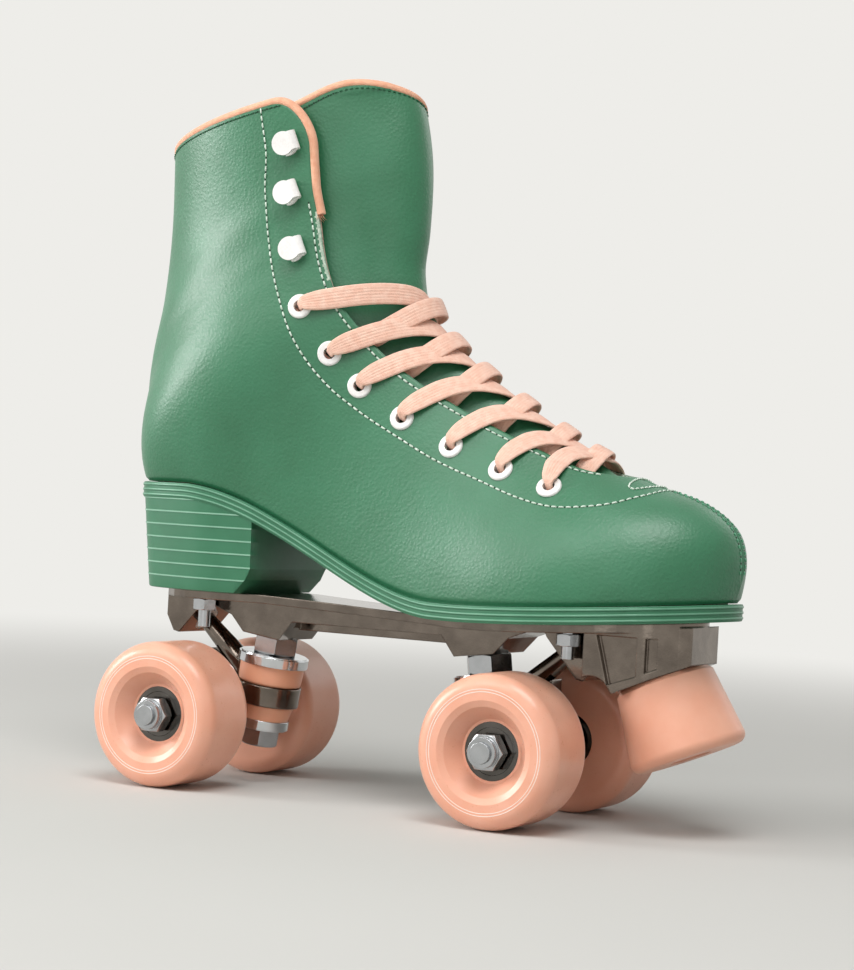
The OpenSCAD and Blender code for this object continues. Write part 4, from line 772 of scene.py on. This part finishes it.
def sewn(name, rows, finish, pitch=2.9, length=2.15, radius=0.36):
    """Rows of stitches, each with a dark disc of painted shade where the needle went through; each
    row is a path on the skin with its normals.
    """
    a = np.linspace(0, 2 * math.pi, 6, endpoint=False)
    spread = np.array([-0.5, -0.42, -0.2, 0.2, 0.42, 0.5]) * length
    girth = np.array([0.4, 0.8, 1, 1, 0.8, 0.4]) * radius
    height = np.array([-0.5, 0.2, 0.55, 0.55, 0.2, -0.5]) * radius
    parts, which = [], []
    for path, normals in rows:
        index = resample(path, pitch)
        spot, n = along(path, index), unit(along(normals, index))
        run = tangents(spot)
        run = unit(run - n * (run * n).sum(1, keepdims=True))
        for c, x, y, z in zip(spot, run, np.cross(n, run), n):
            ring = np.outer(np.cos(a), y) + np.outer(np.sin(a), z)
            stitch = tube([c + spread[k] * x + height[k] * z + girth[k] * ring for k in range(6)])
            # A dark disc of painted shade half a pitch along, where the needle went through
            flat = np.outer(np.cos(a), x) + np.outer(np.sin(a), y)
            shade_disc = c + pitch / 2 * x + NEEDLE_SHADE_LIFT * z + NEEDLE_SHADE_R * flat
            parts += [stitch, (shade_disc, [range(6)])]
            which += [0] * len(stitch[1]) + [1]
    add_piece(name, *joined(parts), [finish, NEEDLE_HOLE_SHADE], face_finish=which, slot="upper_leather")


def skin_row(u, d, side):
    t = t_at(u, d, side)
    return surface(u, t, side), normal(u, t, side)


# Stay line of the near side: station and distance from the crest
STAY_LINE = np.array([
    [16.93, 64], [16.15, 65.3], [15.03, 68.2], [13.7, 67.8], [12.45, 66], [10.78, 61.9],
    [9.85, 59], [8.78, 52.9], [8.1, 48.3], [7.38, 44.6], [6.62, 42.3], [5.9, 39.9], [5.2, 38.6],
    [4.65, 36.8], [4.23, 32.9], [3.93, 27.5], [3.76, 20.7], [3.65, 13.2], [3.6, 0.5],
])


def stay_row(side):
    line = curve(STAY_LINE, np.linspace(0, len(STAY_LINE) - 1, 400))
    shift = throat(line[:, 0], side) - throat(line[:, 0], RIGHT)
    return skin_row(line[:, 0], line[:, 1] + shift, side)


def facing_row(side):
    u = np.linspace(THROAT_END + 0.35, BINDING_LOW + 0.4, 300)
    return skin_row(u, throat(u, side) + 2.5, side)


def toe_row(side):
    u = np.linspace(0.35, 3.5, 200)
    return skin_row(u, np.full(u.shape, SEAM_INSET), side)


def back_row(side):
    u = np.linspace(12.6, 16.9, 300)
    seam = surface(u, 0 * u + 1, side)
    t, _ = halved(np.full(u.shape, 0.7), np.ones(u.shape),
                  lambda t: np.linalg.norm(surface(u, t, side) - seam, axis=1) > SEAM_INSET)
    return surface(u, t, side), normal(u, t, side)


def below_collar(side):
    """Row just under the collar's binding."""
    t = np.linspace(edge_t(TOP - 0.02, side), 1, 160)
    u = np.full(t.shape, float(TOP))
    top = surface(u, t, side)
    down = unit(surface(u - 0.05, t, side) - top)
    return top + down * 1.25, normal(u, t, side)


def throat_tack():
    """Oval of stitches across the bottom of the throat."""
    a = np.linspace(0, 2 * math.pi, 160)
    u, w = 3.98 + 0.17 * np.sin(a), 15.5 * np.cos(a)
    rows = [skin_row(u, np.maximum(0.01, abs(w)), side) for side, _ in SIDES]
    return tuple(np.where((w < 0)[:, None], right, left) for right, left in zip(*rows))


def tongue_row(u, w):
    p = tongue_point(u, w, 0)
    return p, unit(p - tongue_point(u, w, 1.0))


def make_stitching():
    for side, name in SIDES:
        sewn(f"stay_stitching_{name}", [stay_row(side), facing_row(side)], THREAD)
        sewn(f"seam_stitching_{name}", [toe_row(side), back_row(side)], SEAM_THREAD, **SEAM_STITCH)
        sewn(f"collar_stitching_{name}", [below_collar(side)], GREEN_THREAD, **EDGE_STITCH)
    sewn("throat_bar_tack", [throat_tack()], THREAD, **TACK_STITCH)
    w = np.linspace(-0.8, 0.8, 120)
    sewn("tongue_stitching", [tongue_row(u, w) for u in (8.8, 9.0)], THREAD)
    w = np.linspace(-0.98, 0.98, 160)
    sewn("tongue_top_stitching", [tongue_row(tongue_end(w) - 0.1, w)], GREEN_THREAD, **EDGE_STITCH)


# Lace

def lace_spot(u, d, side, off, width):
    d = max(0.001, d)
    t = float(t_at(u, d, side))
    return skin(u, t, side, off), up_along(u, max(0.02, t), side), width


def lace_station(row, to, d):
    """Station of a strand at distance d from the crest, positive towards its upper eyelet."""
    u0, u1 = eyelet_row(min(row + 1, LAST_ROW), -to), eyelet_row(row, to)
    e0, e1 = (float(throat(u, side)) + EYELET_INSET for u, side in ((u0, -to), (u1, to)))
    s = min(1, d / (e1 - LACE_END) if d > 0 else -d / (e0 - LACE_END))
    dip = LACE_DIP[row] * (1 if to == LEFT else INNER_DIP)
    arched = to == RIGHT and 0 < d < e1
    arch = LACE_ARCH * math.sin(math.pi * (1 - d / e1)) if arched else 0
    return mix(u0, u1, (d + e0) / (e0 + e1)) - dip * (1 - s * s) + arch


def facing_at(row, to, side):
    """Distance from the crest at which a strand crosses the edge of a facing."""
    start = float(throat(eyelet_row(row + (side != to), side), side))
    return float(throat(lace_station(row, to, start if side == to else -start), side))


def strand(row, to):
    """Crossing from under one facing, a row lower, over to the eyelet on the side `to`."""
    levels = OVER_LEVELS if to == LEFT else UNDER_LEVELS
    low, high = 2 - facing_at(row, to, -to), facing_at(row, to, to) + 1
    spots = []
    for q in np.linspace(0, 1, 11):
        d = mix(low, high, q)
        side, level = -to if d < 0 else to, curve(levels, 5 * (1 - q))
        spots.append(lace_spot(lace_station(row, to, d), abs(d), side, level, LACE_W))
    return spots


def turn_through(row, side):
    """Over the facing to the eyelet, down through it and back below to the edge."""
    e = float(throat(eyelet_row(row, side), side)) + EYELET_INSET
    # Distance from the crest, height over the boot's face and width of the lace
    over = [
        (e - 7.7, LACE_LIFT + 0.75, LACE_W * 0.95), (e - 2.6, LACE_LIFT + 1.5, LACE_HOLE_W + 2.4),
        (e - 0.75, LACE_LIFT + 0.7, LACE_HOLE_W), (e - 0.1, -0.6, LACE_HOLE_W - 0.3),
    ]
    under = [
        (e - 0.1, -SKIN_IN - 0.6, LACE_HOLE_W - 0.3), (e - 0.9, -LACE_UNDER - 0.9, LACE_HOLE_W),
        (e - 2.6, -LACE_UNDER - 1, LACE_HOLE_W + 1.4), (e - 7.7, -LACE_UNDER - 0.3, LACE_W * 0.85),
    ]
    spots = [lace_spot(lace_station(row, side, d), d, side, off, width) for d, off, width in over]
    for d, off, width in under:
        u = lace_station(row - 1, -side, -d) if row > 0 else eyelet_row(row, side)
        spots.append(lace_spot(u, d, side, off, width))
    return spots


def lace_half(side):
    spots = []
    for row in range(LAST_ROW, -1, -1):
        here = side if (LAST_ROW - row) % 2 == 0 else -side
        spots += turn_through(row, here)
        if row > 0:
            spots += strand(row - 1, -here)
    return spots


def lace_bar():
    """Straight run across the lowest row."""
    g = float(throat(EYELET_ROWS[LAST_ROW], RIGHT)) + 3
    return [lace_spot(lace_station(LAST_ROW, RIGHT, d), abs(d), LEFT if d < 0 else RIGHT,
                      LACE_LIFT, LACE_W) for d in np.linspace(-g, g, 9)]


def lace_section(width, steps=8, ribs=7):
    """Flat oval with ribs woven along both faces: offsets across and through the lace."""
    a = np.linspace(-1, 1, steps * ribs // 2)
    crown = LACE_T / 2 * (1 - abs(a) ** 5) ** 0.5
    rib = 0.1 * np.cos(a * math.pi * ribs) * (1 - a**2)
    top = np.stack([a * width / 2, crown + rib], -1)
    return np.concatenate([top, top[-2:0:-1] * [1, -1]])


def make_lace():
    spots = lace_half(LEFT)[::-1] + lace_bar() + lace_half(RIGHT)
    s = np.linspace(0, len(spots) - 1, 6 * (len(spots) - 1) + 1)
    path = curve([p for p, _, _ in spots], s)
    wide = unit(curve([v for _, v, _ in spots], s))
    width = np.maximum(LACE_NARROWEST, curve([[w] for _, _, w in spots], s)[:, 0])
    run = tangents(path)
    wide = unit(wide - run * (wide * run).sum(1, keepdims=True))
    thick = np.cross(wide, run)
    rings = []
    for p, x, y, w in zip(path, wide, thick, width):
        section = lace_section(w)
        rings.append(p + section[:, :1] * x + section[:, 1:] * y)
    add_piece("flat_lace", *tube(rings), [LACE], instead_of=["lace"], slot="lace_cotton")


# Sole, heel and insole

def sole_ring(out, steps=240):
    """Plan outline moved out, from the toe along the right side and back on the left."""
    u = np.linspace(0, HEEL, steps)
    return np.concatenate([moved_out(u, RIGHT, out), moved_out(u, LEFT, out)[-2:0:-1]])


def make_outsole():
    # Profile of the edge: distance out, share of the sole's height, and 1 on the ridges that get a
    # painted highlight
    base = WELT - 0.35
    edge = [(-7, 1, 0), (base - 0.7, 1, 0), (base - 0.15, 0.985, 0), (base, 0.95, 0)]
    for low in (0.76, 0.44, 0.12):
        edge += [(base, low + 0.155, 0), (WELT - 0.1, low + 0.135, 1), (WELT, low + 0.1, 1),
                 (WELT, low + 0.04, 1), (WELT - 0.1, low + 0.005, 0), (base, low - 0.015, 0)]
    edge += [(base, 0.06, 0), (base - 0.15, 0.015, 0), (base - 0.6, 0, 0), (-3, 0, 0)]
    rings = []
    for out, height, _ in edge:
        p = sole_ring(out)
        rings.append(np.column_stack([p, sole_under(p[:, 0]) + height * SOLE_T]))
    rings = np.array(rings)
    count, n = rings.shape[:2]
    faces = grid_faces(count, n, closed=True)
    # Faces on the ridges take the paler finish, a painted highlight
    which = np.repeat([edge[k][2] and edge[k + 1][2] for k in range(count - 1)], n)
    half = n // 2
    right = rings[-1][:half + 1]
    left = np.concatenate([rings[-1][:1], rings[-1][:half - 1:-1]])
    across = np.array([mix(right, left, f) for f in np.linspace(0, 1, 9)])
    under = grid_faces(9, half + 1, start=count * n)
    add_piece("moulded_outsole", np.concatenate([rings.reshape(-1, 3), across.reshape(-1, 3)]),
              np.concatenate([faces, under]), [SOLE, SOLE_RIDGE_HIGHLIGHT], instead_of=["outsole"],
              slot="sole_plastic", face_finish=np.concatenate([which, np.zeros(len(under), int)]),
              sharp=40)


HEEL_FRONT, HEEL_LINES = 9, 7


def make_heel():
    front = INNER[HEEL_FRONT, 0] - HEEL_BACK
    pitch, full = HEEL_H / HEEL_LINES, HEEL_H + SOLE_T
    u, proud = np.linspace(HEEL_FRONT, HEEL, 110), WELT - 0.4
    plan = np.concatenate([moved_out(u, RIGHT, proud), moved_out(u, LEFT, proud)[-2::-1]])
    breast = np.array([mix(plan[-1], plan[0], f) for f in np.linspace(0, 1, 18)[1:-1]])
    plan = np.concatenate([plan, breast])
    on_breast = np.zeros(len(plan))
    on_breast[-len(breast):] = 1
    # Height, distance out, and 1 on the lines painted pale as a highlight
    levels = [(0, -0.5, 0), (0.25, -0.1, 0), (0.7, 0, 0)]
    for g in range(1, HEEL_LINES + 1):
        z = g * pitch
        levels += [(z - 0.42, 0, 0), (z - 0.3, 0.22, 1), (z + 0.3, 0.22, 1), (z + 0.42, 0, 0)]
    levels += [(full, 0, 0)]
    middle = np.array([front - 25, 0])
    rings = []
    for z, out, _ in levels:
        f = z / full
        p = np.column_stack([front + (plan[:, 0] - front) * mix(0.92, 1, f),
                             plan[:, 1] * mix(0.95, 1, f)])
        p += (out * (1 - on_breast))[:, None] * unit(p - middle)
        x = np.minimum(p[:, 0], front - 8 + 0.9 * (z + 1))
        height = np.minimum(PLATE_Z + z, sole_under(x) + 0.6)
        rings.append(np.column_stack([x, p[:, 1], height]))
    # Bands between two pale levels take the painted highlight
    lit = [above[2] and below[2] for below, above in zip(levels, levels[1:])]
    line = np.repeat(np.array(lit)[:, None], len(plan), 1)
    line[:, len(plan) - len(breast) - 1:] = 0
    add_piece("stacked_heel", *tube(rings), [SOLE, HEEL_LINE_HIGHLIGHT], instead_of=["heel_block"],
              slot="sole_plastic", face_finish=np.concatenate([line.ravel(), [0, 0]]), sharp=40)


def make_insole():
    inset = SKIN_IN + 0.8
    u = np.linspace(0, HEEL, 160)
    right, left = (moved_out(u, side, -inset) for side, _ in SIDES)
    s = np.sin(np.linspace(-math.pi / 2, math.pi / 2, 30)) / 2 + 0.5
    grid = np.array([mix(right, left, f) for f in s])
    base = sole_under(grid[..., 0]) + SOLE_T
    edge = np.minimum(s, 1 - s)[:, None]
    top = base + INSOLE_T - 1.2 * near(edge, 0.03) - 0.3 * np.sin(math.pi * s)[:, None]
    upper_face = np.concatenate([grid, top[..., None]], -1)
    lower_face = np.concatenate([grid, (base + 0.05)[..., None]], -1)
    points, quads, _ = shell(upper_face, lower_face, True)
    add_piece("insole_cloth", points, quads, [LINING], instead_of=["insole"], slot="lining_fabric",
              sharp=60)


# Trucks and wheels

RING_INSET, RING_RISE = 22.4, 8.5
KINGPIN_TILT = math.radians(8)
WHEEL_FACE, PRINT_RADII = 53.2, (22.3, 23.3)


def ring_frame(end):
    """Frame of a kingpin, with Z up along it from the middle of the hanger's ring."""
    truck = Matrix.Translation((end * AXLE_X, 0, AXLE_Z))
    faced = Matrix.Rotation(0 if end == FRONT else math.pi, 4, "Z")
    ring = Matrix.Translation((-RING_INSET, 0, RING_RISE))
    return truck @ faced @ ring @ Matrix.Rotation(-KINGPIN_TILT, 4, "Y")


def barrel(low, high, r_low, r_high, bulge, bore=5.3, steps=18):
    """Profile of a cushion: rounded ends and a slight barrel."""
    f = np.linspace(0, 1, steps)
    r = mix(r_low, r_high, f) + bulge * np.sin(math.pi * f)
    round_r = 1.2
    corner = np.minimum(f, 1 - f) * (high - low)
    rounding = round_r - np.sqrt(np.maximum(0, round_r**2 - (round_r - corner) ** 2))
    r = r - np.where(corner < round_r, rounding, 0)
    side = np.column_stack([r, mix(low, high, f)])
    return np.concatenate([side, [[bore, high], [bore, low]]])


def make_cushions():
    # Profile of each cushion, and the heights at which it is held by the boot and by the hanger
    stacks = {
        "upper_cushion": (barrel(4.05, 14.95, 12.9, 13.25, 0.15), 15, 4),
        "lower_cushion": (barrel(-12.95, -4.05, 9.4, 11.9, 0.1), -13, -4),
    }
    for end, name in ENDS:
        where = ring_frame(end)
        for kind, (profile, held, pressed) in stacks.items():
            points, faces = spun(profile)
            points = np.array([where @ Vector(p) for p in points])
            made = add_piece(f"{name}_{kind}_urethane", points, faces, [CUSHION], body=None,
                             instead_of=[f"{name}_{kind}"], slot="cushion_urethane", sharp=50)
            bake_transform(made)


def make_wheel_rings():
    """Two fine printed rings on the outer face of each wheel."""
    points, faces = joined([
        spun([[r - 0.16, 0], [r - 0.1, 0.05], [r + 0.1, 0.05], [r + 0.16, 0]], 120)
        for r in PRINT_RADII
    ])
    x, z, proud = points.T
    for end, end_name in ENDS:
        for side, side_name in SIDES:
            on_wheel = np.column_stack([x + end * AXLE_X, side * (WHEEL_FACE + proud), z + AXLE_Z])
            add_piece(f"{end_name}_{side_name}_wheel_print", on_wheel, [f[::-side] for f in faces],
                      [PRINT], body=f"{end_name}_{side_name}_roller", slot="wheel_urethane")


def both_ends(*names):
    return [f"{end}_{name}" for name in names for _, end in ENDS]


def dress_cad():
    """Finishes of the CAD nodes that keep their shape."""
    finishes = {
        ENAMEL: ["eyelets_right", "eyelets_left", "hooks_right", "hooks_left"],
        ALLOY: ["plate"] + both_ends("hanger"),
        ZINC: ["mounting_bolts", "mounting_nuts", "toe_stop_bolt"]
        + both_ends("axle", "axle_nuts", "kingpin", "kingpin_nut", "spacers"),
        CHROME: both_ends("upper_retainer", "lower_retainer"),
        BEARING: both_ends("washers", "inner_rings", "balls", "right_outer_rings",
                           "left_outer_rings"),
        URETHANE: both_ends("right_wheel", "left_wheel"),
        STOP: ["toe_stop"],
        NYLON: both_ends("pivot_cup"),
    }
    for finish, nodes in finishes.items():
        for name in nodes:
            mesh = frame["nodes"][name].data
            mesh.materials.clear()
            mesh.materials.append(finish)


# Stage

VIEW_TURN, VIEW_TILT, VIEW_ROLL = (math.radians(a) for a in (27.99, -0.63, 3.29))
VIEW_DISTANCE = 897.5
VIEW_TARGET = np.array([16.91, 0, 126.64])
FOCAL_PIXELS, IMAGE_HEIGHT = 2244.4, 970
SENSOR_MM = 36


def make_camera():
    forward = np.array([-math.sin(VIEW_TURN) * math.cos(VIEW_TILT),
                        math.cos(VIEW_TURN) * math.cos(VIEW_TILT), -math.sin(VIEW_TILT)])
    flat = np.array([math.cos(VIEW_TURN), math.sin(VIEW_TURN), 0])
    lift = np.cross(flat, forward)
    right = flat * math.cos(VIEW_ROLL) + lift * math.sin(VIEW_ROLL)
    up = -flat * math.sin(VIEW_ROLL) + lift * math.cos(VIEW_ROLL)
    spot = place(VIEW_TARGET - VIEW_DISTANCE * forward)[0]
    lens = bpy.data.cameras.new("photo_view")
    lens.sensor_fit, lens.sensor_height, lens.sensor_width = "VERTICAL", SENSOR_MM, SENSOR_MM
    lens.lens = FOCAL_PIXELS * SENSOR_MM / IMAGE_HEIGHT
    lens.clip_start = 0.01
    camera = bpy.data.objects.new("photo_view", lens)
    rows = [[right[k], up[k], -forward[k], spot[k]] for k in range(3)]
    camera.matrix_world = Matrix(rows + [[0, 0, 0, 1]])
    bpy.context.scene.collection.objects.link(camera)
    bpy.context.scene.camera = camera


BACKDROP, WORLD_TINT, WORLD_STRENGTH = "#eeede9", "#e6e6e3", 0.3
FLOOR_RADIUS, FLOOR_SINK = 9, 0.0002
# Each softbox: name, place, what it faces, width in metres and watts
SOFTBOXES = (
    ("key_softbox", (-1.2, -0.6, 0.5), (-0.05, 0, 0.15), 0.6, 11),
    ("high_softbox", (-0.5, -1.2, 1.2), (0, 0, 0.12), 0.9, 7),
    ("front_softbox", (0.2, -1.5, 0.5), (0, 0, 0.1), 1.1, 2),
    ("top_softbox", (0.35, -0.6, 1.3), (0.05, 0, 0.1), 0.8, 12),
    ("back_softbox", (0.5, 1.4, 0.9), (0, 0, 0.15), 1.0, 2.5),
)


def add_softbox(name, spot, target, size, watts):
    light = bpy.data.lights.new(name, "AREA")
    light.shape, light.size, light.energy = "DISK", size, watts
    lamp = bpy.data.objects.new(name, light)
    lamp.location = spot
    lamp.rotation_euler = (Vector(target) - Vector(spot)).to_track_quat("-Z", "Y").to_euler()
    bpy.context.scene.collection.objects.link(lamp)


def seen_rays(tree):
    """One for rays that show the backdrop: the camera's, reflected and let through."""
    path = add_node(tree, "LightPath").outputs
    shown = add_node(tree, "Math", {0: path["Is Camera Ray"], 1: path["Is Glossy Ray"]},
                     operation="MAXIMUM")
    return add_node(tree, "Math", {0: shown.outputs[0], 1: path["Is Transmission Ray"]},
                    operation="MAXIMUM").outputs[0]


def make_floor():
    """Pale paper that takes the shadow, and fades into the backdrop further out."""
    steps = 96
    a = np.linspace(0, 2 * math.pi, steps, endpoint=False)
    mesh = bpy.data.meshes.new("studio_floor")
    rim_points = [(FLOOR_RADIUS * math.cos(k), FLOOR_RADIUS * math.sin(k), -FLOOR_SINK) for k in a]
    mesh.from_pydata(rim_points, [], [list(range(steps))])
    floor = bpy.data.objects.new("studio_floor", mesh)
    paper, tree, shader, where = new_material("studio_paper", Roughness=0.8)
    two_tone(tree, shader, where, "#c6c5c1", "#c9c8c4", 400)
    away = add_node(tree, "VectorMath", {0: where}, operation="LENGTH")
    fade = add_node(tree, "MapRange",
                    {"Value": away.outputs["Value"], "From Min": 0.3, "From Max": 1.3},
                    interpolation_type="SMOOTHSTEP")
    share = add_node(tree, "Math", {0: fade.outputs["Result"], 1: seen_rays(tree)},
                     operation="MULTIPLY")
    glow = add_node(tree, "Emission", {"Color": linear(BACKDROP), "Strength": 1.0})
    add_node(tree, "MixShader", {0: share.outputs[0], 1: shader.outputs[0], 2: glow.outputs[0]},
             to=tree.nodes["Material Output"].inputs["Surface"])
    mesh.materials.append(paper)
    bpy.context.scene.collection.objects.link(floor)


def make_stage():
    make_floor()
    for box in SOFTBOXES:
        add_softbox(*box)
    world = bpy.data.worlds.new("studio")
    bpy.context.scene.world = world
    world.use_nodes = True
    tree = world.node_tree
    light = tree.nodes["Background"]
    light.inputs["Color"].default_value = linear(WORLD_TINT)
    light.inputs["Strength"].default_value = WORLD_STRENGTH
    shown = add_node(tree, "Background", {"Color": linear(BACKDROP), "Strength": 1.0})
    add_node(tree, "MixShader", {0: seen_rays(tree), 1: light.outputs[0], 2: shown.outputs[0]},
             to=tree.nodes["World Output"].inputs["Surface"])


def main():
    make_camera()
    for side, name in SIDES:
        make_upper(side, name)
    make_lining()
    make_tongue()
    make_tongue_binding()
    make_collar_binding()
    make_frayed_ends()
    make_stitching()
    make_lace()
    make_outsole()
    make_heel()
    make_insole()
    make_cushions()
    make_wheel_rings()
    dress_cad()
    make_stage()
    bpy.context.scene.view_settings.view_transform = "Standard"


main()
